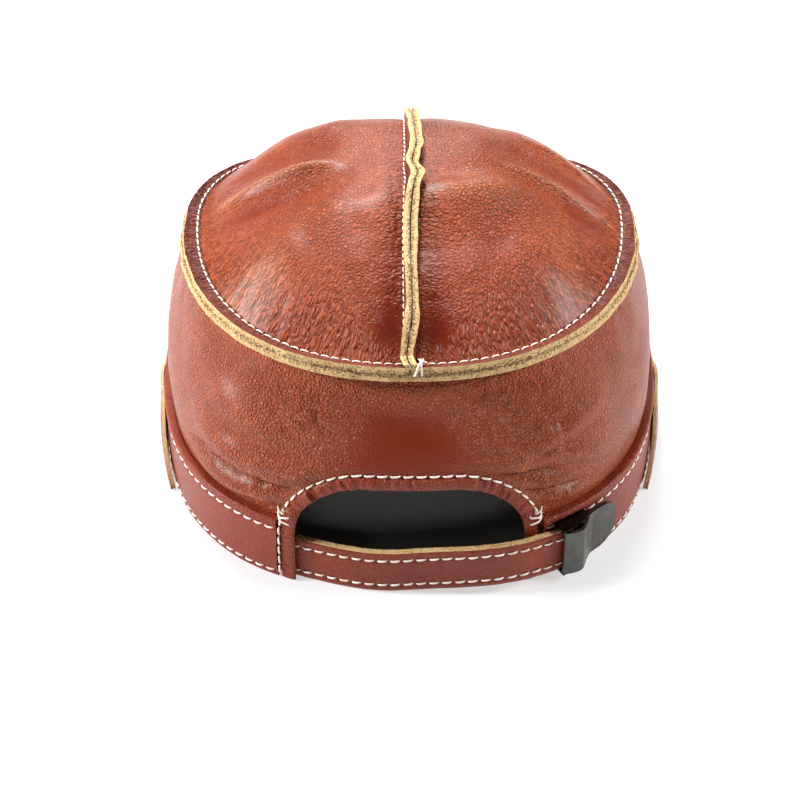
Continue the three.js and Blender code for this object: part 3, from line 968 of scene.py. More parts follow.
class Draft:
    """One piece's mesh while it is drawn, in millimetres in the cap's own coordinates."""

    def __init__(self, name: str) -> None:
        """Start an empty piece."""
        self.name = name
        self.points: list[np.ndarray] = []
        self.quads: list[np.ndarray] = []
        self.triangles: list[np.ndarray] = []
        self.quad_faces: list[np.ndarray] = []
        self.triangle_faces: list[np.ndarray] = []
        self.way: list[np.ndarray] = []
        self.pull: list[np.ndarray] = []
        self.smoothing_and_painted_light: list[np.ndarray] = []
        self.count = 0

    def loft(
        self,
        sections: np.ndarray,
        faces: np.ndarray | int = 0,
        ring: bool = False,
        keep: np.ndarray | None = None,
        way: np.ndarray | None = None,
        pull: np.ndarray | None = None,
        smoothing_and_painted_light: np.ndarray | None = None,
    ) -> None:
        """Join a row of closed sections into a skin, and cap its two ends.

        Args:
            sections: Points, as sections, places round a section, and coordinates.
            faces: Place in the list of finishes for each strip round the section.
            ring: Whether the last section joins the first.
            keep: Which faces stay, as strips between sections by strips round them.
            way: Millimetres along and away from the nearest seam, for each point.
            pull: How hard that seam pulls at each point, from 0 to 1.
            smoothing_and_painted_light: How smooth the leather is at each point and how much painted
                shade it gets,
            from 0 to 1, or how much painted highlight a crest gets, from 0 to -1.
        """
        count, around = sections.shape[:2]
        index = np.arange(count * around).reshape(count, around) + self.count
        ahead = np.roll(index, -1, axis=0) if ring else index[1:]
        here = index if ring else index[:-1]
        quads = np.stack([here, np.roll(here, -1, 1), np.roll(ahead, -1, 1), ahead], axis=-1)
        marks = np.broadcast_to(np.asarray(faces), quads.shape[:2])
        chosen = np.ones(quads.shape[:2], bool) if keep is None else keep
        grown = np.roll(sections, -1, 1)
        nearer = np.cross(sections[:-1], grown[:-1])
        inside = np.sum(nearer * (sections[1:] + grown[1:]))
        middle = sections.mean(axis=(0, 1))
        edge, side = grown[:-1] - sections[:-1], sections[1:] - sections[:-1]
        inside = np.sum(np.cross(edge, side) * (sections[:-1] - middle))
        order = 1 if inside > 0 else -1
        self.quads.append(quads[chosen][:, ::order])
        self.quad_faces.append(marks[chosen])
        points = [sections.reshape(-1, 3)]
        extra = 0
        if not ring:
            for end, turn in ((0, -order), (count - 1, order)):
                centre = self.count + count * around + extra
                fan = np.stack(
                    [index[end], np.roll(index[end], -1), np.full(around, centre)], axis=-1
                )
                self.triangles.append(fan[:, ::turn])
                self.triangle_faces.append(np.broadcast_to(np.asarray(faces), around))
                points.append(sections[end].mean(axis=0)[None])
                extra += 1
        self.points.extend(points)
        total = count * around
        spare = np.zeros((extra, 3))
        self.way.append(np.zeros((total, 3)) if way is None else way.reshape(-1, 3))
        self.way.append(spare)
        self.pull.append(np.zeros(total) if pull is None else pull.reshape(-1))
        self.pull.append(spare[:, 0])
        self.smoothing_and_painted_light.append(np.zeros(total) if smoothing_and_painted_light is None else smoothing_and_painted_light.reshape(-1))
        self.smoothing_and_painted_light.append(spare[:, 0])
        self.count += total + extra

    def finish(
        self,
        shift: np.ndarray,
        materials: list[bpy.types.Material],
        body: Body,
        slot: Slot,
        sharp: float = 42.0,
    ) -> bpy.types.Object:
        """Turn the draft into a Blender object that rides on its body.

        Args:
            shift: From the cap's own middle to the frame's origin, in millimetres.
            materials: The finishes that the faces name by place.
            body: What the piece moves with.
            slot: The record's material slot. Not used.
            sharp: Angle in degrees above which an edge stays sharp.

        Returns:
            The new object.
        """
        points = (np.concatenate(self.points) + shift) * MILLIMETRE
        quads = np.concatenate(self.quads)
        triangles = np.concatenate(self.triangles) if self.triangles else np.zeros((0, 3), int)
        mesh = bpy.data.meshes.new(self.name)
        mesh.vertices.add(len(points))
        mesh.vertices.foreach_set("co", points.astype(np.float32).ravel())
        corners = np.concatenate([quads.ravel(), triangles.ravel()]).astype(np.int32)
        mesh.loops.add(len(corners))
        mesh.loops.foreach_set("vertex_index", corners)
        starts = np.concatenate(
            [np.arange(len(quads)) * 4, len(quads) * 4 + np.arange(len(triangles)) * 3]
        )
        mesh.polygons.add(len(starts))
        mesh.polygons.foreach_set("loop_start", starts.astype(np.int32))
        marks = np.concatenate(self.quad_faces + self.triangle_faces).astype(np.int32)
        mesh.polygons.foreach_set("material_index", marks)
        mesh.polygons.foreach_set("use_smooth", np.ones(len(starts), bool))
        way = mesh.attributes.new("way", "FLOAT_VECTOR", "POINT")
        way.data.foreach_set("vector", np.concatenate(self.way).astype(np.float32).ravel())
        for name, rows in (("pull", self.pull), ("smoothing_and_painted_light", self.smoothing_and_painted_light)):
            layer = mesh.attributes.new(name, "FLOAT", "POINT")
            layer.data.foreach_set("value", np.concatenate(rows).astype(np.float32))
        mesh.update(calc_edges=True)
        mesh.validate()
        mesh.set_sharp_from_angle(angle=math.radians(sharp))
        for material in materials:
            mesh.materials.append(material)
        piece = bpy.data.objects.new(self.name, mesh)
        bpy.context.scene.collection.objects.link(piece)
        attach(piece, body.value)
        log.info("%s: %d points, %d faces", self.name, len(points), len(starts))
        return piece


@dataclass(frozen=True)
class Needle:
    """One setting of the sewing machine, in millimetres."""

    pitch: float = 4.5
    stitch: float = 3.4
    radius: float = 0.38
    proud: float = 0.24
    slant: float = 5.0


@dataclass
class SeamLine:
    """A line that a row of stitches follows, with the leather's outward direction on it."""

    points: np.ndarray
    normals: np.ndarray

    def sew(self, draft: Draft, needle: Needle, seed: int = 1) -> None:
        """Lay one row of stitches along the line.

        Args:
            draft: The piece that the stitches are added to.
            needle: Their spacing, length and thickness.
            seed: Varies the small differences between stitches.
        """
        steps = np.linalg.norm(np.diff(self.points, axis=0), axis=1)
        along = np.concatenate([[0.0], np.cumsum(steps)])
        count = max(1, int(round((along[-1] - needle.stitch) / needle.pitch)))
        pitch = (along[-1] - needle.stitch) / count
        shares = np.array([0.0, 0.08, 0.22, 0.4, 0.6, 0.78, 0.92, 1.0])
        lift = np.array([-1.5, -0.35, 0.45, 0.8, 0.8, 0.45, -0.35, -1.5])
        size = np.array([0.55, 0.85, 1.0, 1.05, 1.05, 1.0, 0.85, 0.55])
        angles = np.linspace(0, 2 * math.pi, 9)[:-1]
        for number in range(count + 1):
            wobble = 0.12 * float(ripple(number * 1.37, seed * 3.1, seed))
            start = number * pitch + wobble
            at = np.clip(start + shares * needle.stitch, 0, along[-1])
            point = np.stack([np.interp(at, along, self.points[:, k]) for k in range(3)], -1)
            normal = unit(
                np.stack([np.interp(at, along, self.normals[:, k]) for k in range(3)], -1)
            )
            ahead = unit(point[-1] - point[0])
            aside = unit(np.cross(normal, ahead))
            sway = (shares - 0.5)[:, None] * math.tan(math.radians(needle.slant)) * aside
            height = (lift * needle.radius * 0.5 + needle.proud)[:, None]
            spine = point + normal * height + sway * needle.stitch
            radius = (needle.radius * size)[:, None, None]
            ring = (
                np.cos(angles)[None, :, None] * aside[:, None, :]
                + np.sin(angles)[None, :, None] * normal[:, None, :] * 0.8
            )
            draft.loft(spine[:, None, :] + radius * ring)


def lay_thread(draft: Draft, route: np.ndarray, radius: float) -> None:
    """Lay one loose loop of thread along a route.

    Args:
        draft: The piece that the thread is added to.
        route: Its points.
        radius: Its radius.
    """
    ahead = unit(np.gradient(route, axis=0))
    aside = unit(np.cross(ahead, np.array([0.13, 0.31, 0.94])))
    up = np.cross(aside, ahead)
    angles = np.linspace(0, 2 * math.pi, 9)[:-1]
    ring = (
        np.cos(angles)[None, :, None] * aside[:, None, :]
        + np.sin(angles)[None, :, None] * up[:, None, :]
    )
    draft.loft(route[:, None, :] + radius * ring)


def strap_section(outer: np.ndarray, inner: np.ndarray, edge: int = 3) -> np.ndarray:
    """Close a row of outer points and its row of inner points into one ring.

    Args:
        outer: Points of the outer face, as sections, rows and coordinates.
        inner: The points that lie opposite.
        edge: How many points the edge between the two last rows gets.

    Returns:
        Rings that run up the outer face, over the edge and down the inner face.
    """
    shares = np.linspace(0, 1, edge + 2)[1:-1][None, :, None]
    over = outer[:, -1:, :] * (1 - shares) + inner[:, -1:, :] * shares
    under = inner[:, :1, :] * (1 - shares) + outer[:, :1, :] * shares
    return np.concatenate([outer, over, inner[:, ::-1, :], under], axis=1)


def strip_faces(outer: int, inner: int, edge: int, over: Face, under: Face) -> np.ndarray:
    """Finish of each strip round a ring from strap_section.

    Args:
        outer: Number of points on the outer face.
        inner: Number of points on the inner face.
        edge: Number of points on each edge.
        over: Finish of the edge after the last row.
        under: Finish of the edge before the first row.

    Returns:
        One place in the list of finishes for each strip.
    """
    return np.array(
        [Face.GRAIN.value] * (outer - 1)
        + [over.value] * (edge + 1)
        + [Face.FLESH.value] * (inner - 1)
        + [under.value] * (edge + 1)
    )


# Sub-assemblies


@dataclass
class Crown:
    """The two top panels, their standing centre seam and the upper leather of the loop seam."""

    form: CapForm
    finishes: FinishSet
    shift: np.ndarray
    stations: int = 400
    rows: int = 88
    seam_height: float = 5.2
    seam_stop: float = 2.3
    valley_depth: float = 1.7
    valley_width: float = 7.0
    pucker: float = 0.34
    pucker_pitch: float = 2.3
    pucker_reach: float = 11.0
    splay: float = 0.5
    folds: tuple[Fold, ...] = (
        Fold(-46, -6, 20, 2.6, -4, 3.1),
        Fold(-46, 5, 20, 6.0, 0, -2.0),
        Fold(-47, -17, 18, 5.5, -3, -2.0),
        Fold(-52, -45, 16, 11, 25, 2.8),
        Fold(-18, -31, 15, 10, 0, 2.2),
        Fold(-27, -57, 14, 9, 20, 0.9),
        Fold(-37, 24, 17, 13, 0, 2.8),
        Fold(55, -8, 20, 1.6, -8, 2.2),
        Fold(54, -14, 18, 4.0, -8, -1.4),
        Fold(52, 1, 18, 4.5, -10, -1.8),
        Fold(58, 13, 15, 1.8, -14, 2.0),
        Fold(21, -23, 22, 7.0, 14, 2.8, 0.003),
        Fold(20, -42, 24, 8.0, 10, -1.6),
        Fold(47, -47, 15, 11, -25, 2.8),
        Fold(27, -60, 14, 8, -15, 0.8),
        Fold(46, 24, 14, 12, 0, 2.0),
    )
    # Patches listed as folds. Above 0 the leather is drawn smooth and painted darker as shade; below 0
    # a crest is painted paler as a highlight.
    smooth: tuple[Fold, ...] = (
        Fold(-7, -58, 20, 7.5, 90, 0.72),
        Fold(9, -60, 19, 7.5, 90, 0.66),
        Fold(-50, -17, 17, 6.0, -4, 0.8),
        Fold(-44, 6, 18, 5.0, 0, 0.5),
        Fold(54, 2, 16, 5.0, -10, 0.7),
        Fold(60, -16, 10, 5.0, -10, 0.8),
        Fold(0, -70, 50, 6.0, 0, 0.35),
        Fold(-46, -5.5, 19, 1.9, -4, -1.1),
        Fold(-52, -46, 11, 8, 25, -0.35),
        Fold(55, -8, 18, 1.1, -8, -0.9),
        Fold(58, 13, 14, 1.1, -14, -0.8),
        Fold(20, -24, 18, 5, 14, -0.3),
    )
    sway: tuple[tuple[float, float], ...] = (
        (-84.0, 0.4),
        (-77.0, -1.3),
        (-69.0, 0.7),
        (-62.0, 0.8),
        (-54.0, 0.2),
        (-38.0, 0.2),
        (-27.0, 1.3),
        (-20.5, 3.1),
        (-14.5, 0.6),
        (-4.0, 2.5),
        (10.0, 1.6),
        (28.0, 0.6),
        (60.0, 0.3),
    )

    def height(self, across: np.ndarray, along: np.ndarray) -> np.ndarray:
        """Height of the panels' grain side over the plan."""
        form = self.form
        azimuth = np.arctan2(across, -along)
        share = np.clip(np.hypot(across, along) / form.loop_radius(azimuth), 0.0, 1.0)
        power = form.dome_end + (form.dome_side - form.dome_end) * np.sin(azimuth) ** 2
        seam = form.loop_height(azimuth)
        height = seam + (form.crown_top - seam) * (1.0 - share**power)
        fade = 1.0 - share**6
        for fold in self.folds:
            height = height + fade * fold.height(across, along)
        back = 1.0 - rise_between(along, -48.0, -18.0)
        sunk = self.valley_depth * (1 + 0.8 * back) * np.exp(-np.abs(across) / self.valley_width)
        height = height - fade * sunk
        soft = ripple(across / 17, along / 17, 3) + 0.5 * ripple(across / 8, along / 8, 4)
        return height + 0.5 * fade * soft

    def pulls(self, across: np.ndarray, along: np.ndarray) -> tuple[np.ndarray, np.ndarray]:
        """Directions to the nearest seam, and how hard it pulls.

        Args:
            across: Place across the cap.
            along: Place along the cap.

        Returns:
            Millimetres along and away from the seam as vectors, and the pull from 0 to 1.
        """
        azimuth = np.arctan2(across, -along)
        from_loop = self.form.loop_radius(azimuth) - np.hypot(across, along)
        from_centre = np.abs(across)
        near_loop = from_loop < from_centre
        run = np.where(near_loop, azimuth * 76.0, along + np.sign(across) * 400.0)
        away = np.where(near_loop, from_loop, from_centre)
        way = np.stack([run, away, np.zeros_like(run)], axis=-1)
        backward = np.where(near_loop, 1.0, 1.0 - rise_between(along, -20.0, 15.0))
        width = np.where(near_loop, 24.0, 15.0)
        between = 1.0 - 0.7 * np.exp(-(((from_loop - from_centre) / 6.0) ** 2))
        strength = np.exp(-((np.clip(away, 0, None) / width) ** 2))
        return way, backward * between * strength

    def smoothness(self, across: np.ndarray, along: np.ndarray) -> np.ndarray:
        """Painted shade where the leather is drawn smooth, up to 1, and painted highlight on crests,
        down to -1.
        """
        amount = np.zeros_like(across)
        for patch in self.smooth:
            amount = amount + patch.height(across, along)
        return np.clip(amount, -1.0, 1.0)

    def panel(self, side: Side) -> bpy.types.Object:
        """Build one top panel.

        Args:
            side: Which of the two.

        Returns:
            The panel, which replaces its solid.
        """
        form, sign = self.form, side.value
        azimuth = np.linspace(math.radians(0.15), math.pi - math.radians(0.15), self.stations)
        length = np.where(np.cos(azimuth) > 0, form.loop_back, form.loop_front)
        end = form.place(sign * azimuth, form.loop_radius(azimuth), 0.0)[:, :2]
        begin = np.minimum(form.leather * 0.6, np.abs(end[:, 0]) * 0.9)
        start = np.stack([sign * begin, -(length - self.seam_stop) * np.cos(azimuth)], axis=-1)
        shares = np.linspace(0, 1, self.rows)[None, :, None]
        plan = start[:, None, :] * (1 - shares) + end[:, None, :] * shares
        across, along = plan[..., 0], plan[..., 1]
        height = self.height(across, along)
        way, pull = self.pulls(across, along)
        decay = np.exp(-np.clip(way[..., 1], 0, None) / self.pucker_reach)
        wave = ripple(way[..., 0] / self.pucker_pitch, way[..., 1] / 9.0, 11)
        height = height + self.pucker * decay * wave * (1.0 - shares[..., 0] ** 30)
        dome = np.dstack([across, along, height])
        tilt = form.seam_tilt(azimuth)[:, None]
        out = form.place(sign * azimuth, 1.0, 0.0)
        run = azimuth * 76.0
        reach = form.seam_reach(azimuth) * (
            1.0 + 0.045 * ripple(run / 9.0, sign * 5.0, 21) + 0.02 * ripple(run / 1.6, sign, 22)
        )
        steps = np.linspace(0, 1, 10)[1:][None, :, None] * reach[:, None, None]
        direction = out * np.cos(tilt) + np.sin(tilt) * np.array([0, 0, 1.0])
        flange = dome[:, -1:, :] + steps * direction[:, None, :]
        gather = np.sin(np.linspace(0, math.pi, 10)[1:])[None, :]
        flange[..., 2] += 0.3 * gather * ripple(run / 2.4, 0.0, 23)[:, None]
        outer = np.concatenate([dome, flange], axis=1)
        upward = np.broadcast_to(np.array([0.0, 0.0, 1.0]), outer.shape)
        inner = outer - form.leather * facing(outer, upward)
        outer[:, self.rows :, 2] += self.splay * np.linspace(0, 1, 10)[1:] ** 3
        rings = strap_section(outer, inner)
        rough = 0.2 * ripple(run[:, None] / 0.9, np.arange(3)[None, :] * 1.7, 24)
        columns = outer.shape[1]
        rings[:, columns : columns + 3, :] += rough[..., None] * direction[:, None, :]
        faces = strip_faces(columns, columns, 3, Face.CUT, Face.FLESH)
        # The flange's upper face takes the darker copy of the leather: painted shade in the seam's
        # fold.
        faces[self.rows - 1 : columns - 1] = Face.PAINTED_SHADE_GRAIN.value
        count = rings.shape[1]
        full_way = np.zeros((*rings.shape[:2], 3))
        full_pull = np.zeros(rings.shape[:2])
        full_way[:, : self.rows] = way
        full_way[:, self.rows : columns, 0] = run[:, None] * sign
        full_way[:, self.rows : columns, 1] = -steps[..., 0]
        full_pull[:, : self.rows] = pull
        full_pull[:, self.rows : columns] = 0.9
        full_way[:, columns - 1 : columns + 4, 2] = np.linspace(0, 1, 5)
        # Painted shade on the smooth patches and painted highlight on crests of the dome.
        full_smoothing_and_painted_light = np.zeros(rings.shape[:2])
        full_smoothing_and_painted_light[:, : self.rows] = self.smoothness(across, along)
        draft = Draft(f"crown_panel_{side.name.lower()}")
        draft.loft(rings, faces, way=full_way, pull=full_pull, smoothing_and_painted_light=full_smoothing_and_painted_light)
        log.info("%s has %d points round each section", draft.name, count)
        hide = self.finishes.hide(self.finishes.crown)
        piece = draft.finish(self.shift, hide, Body.CAP, Slot.CROWN)
        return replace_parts(piece, f"top_panel_{side.name.lower()}")

    def crest(self) -> tuple[np.ndarray, np.ndarray, np.ndarray]:
        """The centre seam's foot line from the back of the loop seam to its front.

        Returns:
            Its points, the seam's height above them, and its sideways lean.
        """
        form = self.form
        ahead = np.linspace(-form.loop_back, form.loop_front - self.seam_stop, 300)
        foot = np.stack([0 * ahead, ahead, self.height(0 * ahead, ahead)], axis=-1)
        tilt = float(form.seam_tilt(np.zeros(1))[0])
        over = np.linspace(form.flange_reach - 0.2, 0.4, 14)[:, None]
        flange = np.array([0.0, -math.cos(tilt), math.sin(tilt)]) * over
        foot = np.concatenate([foot[:1] + flange, foot])
        along = foot[:, 1]
        tall = self.seam_height * (0.3 + 0.7 * rise_between(along, -84.0, -70.0))
        tall = tall * (0.55 + 0.45 * rise_between(-along, -form.loop_front, -form.loop_front + 12))
        knots = np.array(self.sway)
        lean = np.interp(along, knots[:, 0], knots[:, 1])
        kernel = np.hanning(15) / np.hanning(15).sum()
        lean = np.convolve(np.pad(lean, 7, mode="edge"), kernel, mode="valid")
        return foot, tall, lean

    def seam_layer(self, side: Side) -> bpy.types.Object:
        """Build one leather of the standing centre seam.

        Args:
            side: Which of the two leathers.

        Returns:
            The layer.
        """
        form, sign = self.form, side.value
        foot, tall, lean = self.crest()
        along = foot[:, 1]
        notch = 0.3 * ripple(along / 5.0, sign * 2.0, 31) + 0.14 * ripple(along / 0.9, sign, 32)
        tall = tall + notch
        shares = np.linspace(0, 1, 9)
        levels = -1.3 + (tall[:, None] + 1.3) * shares
        bend = lean[:, None] * rise_between(shares, 0.15, 1.0)
        flare = 0.25 * shares**4 * (1 + ripple(along[:, None] / 4.0, shares * 2, 33))
        near = sign * (form.seam_gap / 2 + 0.3 * flare) + bend
        far = sign * (form.seam_gap / 2 + form.leather + flare) + bend

        def wall(offset: np.ndarray) -> np.ndarray:
            """Points of one face of the layer."""
            return np.stack(
                [
                    foot[:, None, 0] + offset,
                    np.broadcast_to(foot[:, None, 1], offset.shape),
                    foot[:, None, 2] + levels,
                ],
                axis=-1,
            )

        outer, inner = wall(far), wall(near)
        rings = strap_section(outer, inner)
        count = outer.shape[1]
        fuzz = 0.16 * ripple(along[:, None] / 0.8, np.arange(3)[None, :] * 1.9 + sign, 34)
        rings[:, count : count + 3, 2] += fuzz + 0.12
        faces = strip_faces(count, count, 3, Face.CUT, Face.CUT)
        # The standing seam's sides take the darker copy of the leather: painted shade.
        faces[: count - 1] = Face.PAINTED_SHADE_GRAIN.value
        way = np.zeros((*rings.shape[:2], 3))
        way[..., 0] = along[:, None]
        way[:, :count, 1] = levels
        way[:, count - 1 : count + 4, 2] = np.linspace(0, 1, 5)
        pull = np.zeros(rings.shape[:2])
        pull[:, :count] = 0.7
        draft = Draft(f"centre_seam_{side.name.lower()}")
        draft.loft(rings, faces, way=way, pull=pull)
        hide = self.finishes.hide(self.finishes.crown)
        return draft.finish(self.shift, hide, Body.CAP, Slot.CROWN)

    def stitches(self) -> list[bpy.types.Object]:
        """Sew the loop seam and the centre seam.

        Returns:
            The two rows of stitches.
        """
        form = self.form
        azimuth = np.linspace(math.radians(1.5), math.radians(358.5), 900)
        tilt = form.seam_tilt(azimuth)
        inset = 1.2
        radius = form.loop_radius(azimuth) + inset * np.cos(tilt)
        points = form.place(azimuth, radius, form.loop_height(azimuth) + inset * np.sin(tilt))
        out = form.place(azimuth, -np.sin(tilt), 0.0)
        normals = unit(out + np.cos(tilt)[:, None] * np.array([0, 0, 1.0]))
        loop = Draft("loop_seam_stitches")
        SeamLine(points, normals).sew(loop, Needle(3.6, 2.9, 0.31, 0.22, 5.0), 2)
        foot, tall, lean = self.crest()
        inside = slice(20, len(foot) - 12)
        share = 0.42
        lifted = foot + np.array([0, 0, 1.0]) * (share * tall)[:, None]
        thick = form.seam_gap / 2 + form.leather
        lifted[:, 0] += lean * float(rise_between(share, 0.15, 1.0)) - thick
        normals = unit(np.stack([-tall, 0 * tall, np.clip(lean, 0, None)], axis=-1))
        centre = Draft("centre_seam_stitches")
        SeamLine(lifted[inside], normals[inside]).sew(centre, Needle(2.6, 2.1, 0.27, 0.22, 8.0), 3)
        self.end_loops(centre)
        materials = [self.finishes.thread]
        return [
            draft.finish(self.shift, materials, Body.CAP, Slot.CROWN, 80.0)
            for draft in (loop, centre)
        ]

    def end_loops(self, draft: Draft) -> None:
        """Wind the thread's end over the flange beside the foot of the centre seam."""
        form = self.form
        tilt = float(form.seam_tilt(np.zeros(1))[0])
        shares = np.linspace(0, 1, 26)
        for start, stop, reach in ((3.4, 3.9, 6.9), (4.3, 1.2, 7.5), (2.7, 5.6, 3.2)):
            over = -1.4 + (reach + 1.4) * np.sin(np.pi / 2 * shares)
            fall = -4.2 * rise_between(shares, 0.62, 1.0) * (reach > form.flange_reach)
            across = start + (stop - start) * shares**2
            radius = form.loop_back + over * math.cos(tilt)
            rise = over * math.sin(tilt) + 1.0 + self.splay + 0.5 * np.sin(np.pi * shares) + fall
            route = np.stack([across, -radius, form.loop_height_back + rise], axis=-1)
            lay_thread(draft, route, 0.36)

    def build(self) -> list[bpy.types.Object]:
        """Build every piece of the crown."""
        pieces = [self.panel(side) for side in Side]
        pieces += [self.seam_layer(side) for side in Side]
        return pieces + self.stitches()


@dataclass
class SideWall:
    """The side wall with the lower leather of the loop seam, cut by the rear opening."""

    form: CapForm
    finishes: FinishSet
    shift: np.ndarray
    stations: int = 620
    rows: int = 64
    pucker: float = 0.26
    splay: float = 0.7
    folds: tuple[Fold, ...] = (
        Fold(-57, 39.0, 26, 1.9, 3, -1.9),
        Fold(-60, 33.5, 20, 2.8, 5, 1.6),
        Fold(-56, 46.0, 24, 4.6, -3, 2.0),
        Fold(-36, 44.0, 12, 1.6, -8, -1.1),
        Fold(-62, 60.0, 16, 4.5, -14, 1.2),
        Fold(-30, 48.0, 12, 2.0, 14, 1.0),
        Fold(42, 42.0, 15, 1.6, -10, 1.3),
        Fold(45, 38.4, 14, 1.4, -12, -1.3),
        Fold(48, 35.0, 13, 1.7, -14, 1.2),
        Fold(36, 47.0, 15, 1.5, -8, -1.1),
        Fold(34, 50.5, 15, 2.0, -6, 1.1),
        Fold(60, 47.0, 15, 2.8, -24, 1.0),
        Fold(52, 57.0, 20, 2.8, 12, 0.9),
        Fold(0, 66.0, 34, 8.0, 0, -1.2),
    )

    def face(self, azimuth: np.ndarray, up: np.ndarray) -> tuple[np.ndarray, np.ndarray]:
        """Radius and height of the wall's inner face with its folds."""
        radius, height = self.form.wall_inner(azimuth, up)
        turned = np.arctan2(np.sin(azimuth), np.cos(azimuth)) * 95.0
        fade = rise_between(up, 0.0, 0.08) * (1 - rise_between(up, 0.9, 1.0))
        clear = self.from_opening(radius * np.sin(azimuth), height, np.cos(azimuth))
        fade = fade * rise_between(clear, 5.0, 12.0)
        lift = np.zeros_like(radius)
        for fold in self.folds:
            lift = lift + fold.height(turned, height)
        soft = ripple(turned / 22, height / 15, 41) + 0.5 * ripple(turned / 9, height / 8, 42)
        creased = self.creased(turned, height)
        fine = ripple(turned / 3.4, height / 2.2, 43) + 0.6 * ripple(turned / 1.8, height / 1.5, 44)
        return radius + fade * (1.6 * lift + 0.6 * soft + 0.8 * creased * fine), height

    def creased(self, turned: np.ndarray, height: np.ndarray) -> np.ndarray:
        """Where the leather has gone into small creases, from 0 to 1."""
        left = np.exp(-(((turned + 37) / 15) ** 2) - ((height - 65) / 8) ** 2)
        low = np.exp(-(((turned + 56) / 17) ** 2) - ((height - 40) / 6) ** 2)
        right = np.exp(-(((turned - 46) / 18) ** 2) - ((height - 58) / 10) ** 2)
        upper = 0.8 * np.exp(-(((turned - 30) / 18) ** 2) - ((height - 72) / 8) ** 2)
        return np.clip(left + low + right + upper, 0.0, 1.0)

    def build(self) -> list[bpy.types.Object]:
        """Build the wall as one ring.

        Returns:
            The wall, which replaces its solid.
        """
        form = self.form
        azimuth = np.linspace(-math.pi, math.pi, self.stations + 1)[:-1][:, None]
        base = form.rim_height(azimuth) + form.band_height
        top = form.seam_line(azimuth)[1]
        low = -form.wall_allowance / (top - base)
        shares = np.linspace(0, 1, self.rows)[None, :]
        up = low * (1 - shares) + shares * 0.985
        radius, height = self.face(azimuth, up)
        run = azimuth * 90.0
        below = np.clip(top - height, 0, None)
        wave = ripple(run / 2.5, below / 8.0, 45)
        radius = radius + self.pucker * wave * np.exp(-below / 8.0) * rise_between(below, 0, 1.5)
        wall = form.place(azimuth, radius, height)
        tilt = form.seam_tilt(azimuth)
        seam_radius, seam_height = form.seam_line(azimuth)
        seam_height = seam_height - form.seam_gap / 2
        notch = 0.05 * ripple(run / 8.0, 0.0, 46) + 0.025 * ripple(run / 1.5, 0.0, 47)
        beside = rise_between(np.abs(np.arctan2(np.sin(azimuth), np.cos(azimuth))), 0.6, 1.3)
        reach = form.seam_reach(azimuth) * (1.0 + notch) + 0.9 * beside
        steps = np.linspace(0.0, 1.0, 9)[None, :] * (reach - 0.6) + 0.6
        flange = form.place(
            azimuth,
            seam_radius + steps * np.cos(tilt),
            seam_height + steps * np.sin(tilt) - 0.25 * np.exp(-steps / 0.8),
        )
        inner = np.concatenate([wall, flange], axis=1)
        out = form.place(azimuth, 1.0, 0.0)
        towards = np.repeat(out + np.array([0, 0, 0.8]), inner.shape[1], axis=1)
        towards[:, self.rows :] = 0.3 * out - np.array([0, 0, 1.0])
        closed = np.concatenate([inner[-1:], inner, inner[:1]])
        guide = np.concatenate([towards[-1:], towards, towards[:1]])
        thick = np.full(inner.shape[1], form.leather)
        thick[self.rows :] += self.splay * np.linspace(0, 1, 9) ** 3
        outer = inner + thick[None, :, None] * facing(closed, guide)[1:-1]
        rings = strap_section(outer, inner)
        columns = outer.shape[1]
        rough = 0.2 * ripple(run / 0.9, np.arange(3)[None, :] * 1.7, 48)
        rings[:, columns : columns + 3, :] += rough[..., None] * out
        faces = strip_faces(columns, columns, 3, Face.CUT, Face.FLESH)
        faces[columns + 3 : columns + 6] = Face.CUT.value
        middle = (rings + np.roll(rings, -1, 0) + np.roll(rings, -1, 1)) / 3.0
        inside = self.in_opening(middle)
        way = np.zeros((*rings.shape[:2], 3))
        way[:, : self.rows, 0] = run
        way[:, : self.rows, 1] = below
        way[:, columns - 1 : columns + 4, 2] = np.linspace(0, 1, 5)
        turned = azimuth * 95.0
        pull = np.zeros(rings.shape[:2])
        near = 0.6 * np.exp(-((below / 10.0) ** 2))
        pull[:, : self.rows] = np.clip(near, 0, 1) * (1 - 0.5 * self.creased(turned, height))
        # The middle of the back wall is drawn smooth and painted darker as shade, away from its creased
        # patches and from the seam.
        smoothing_and_painted_light = np.zeros(rings.shape[:2])
        middle_back = 0.1 + 0.87 * np.exp(-((turned / 34.0) ** 4))
        smoothing_and_painted_light[:, : self.rows] = middle_back * (1.0 - self.creased(turned, height))
        smoothing_and_painted_light[:, : self.rows] *= rise_between(below, 3.0, 16.0)
        draft = Draft("wall_panel")
        draft.loft(rings, faces, ring=True, keep=~inside, way=way, pull=pull, smoothing_and_painted_light=smoothing_and_painted_light)
        hide = self.finishes.hide(self.finishes.wall)
        piece = draft.finish(self.shift, hide, Body.CAP, Slot.CROWN)
        return [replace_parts(piece, "side_wall")]

    def from_opening(
        self, across: np.ndarray, height: np.ndarray, back: np.ndarray
    ) -> np.ndarray:
        """Distance of a place on the wall from the rear opening's edge.

        Args:
            across: Its distance to the side.
            height: Its height.
            back: Above 0 on the back half of the cap.

        Returns:
            Millimetres outside the opening, or a large number on the front half.
        """
        form = self.form
        beside = np.abs(across) - (form.opening_half_width - form.opening_corner)
        above = height - (form.opening_top - form.opening_corner)
        outside = np.hypot(np.clip(beside, 0, None), np.clip(above, 0, None))
        inside = np.minimum(np.maximum(beside, above), 0.0)
        return np.where(back > 0, outside + inside - form.opening_corner, 99.0)

    def in_opening(self, points: np.ndarray) -> np.ndarray:
        """Whether each point lies in the rear opening, as far out as the binding's middle."""
        form = self.form
        margin = form.binding_width * 0.5
        half, top = form.opening_half_width + margin, form.opening_top + margin
        corner = form.opening_corner + margin
        across, height = np.abs(points[..., 0]), points[..., 2]
        inner = (across < half) & (height < top) & (points[..., 1] < -50)
        beyond = np.hypot(across - (half - corner), height - (top - corner)) > corner
        rounded = (across > half - corner) & (height > top - corner) & beyond
        return inner & ~rounded


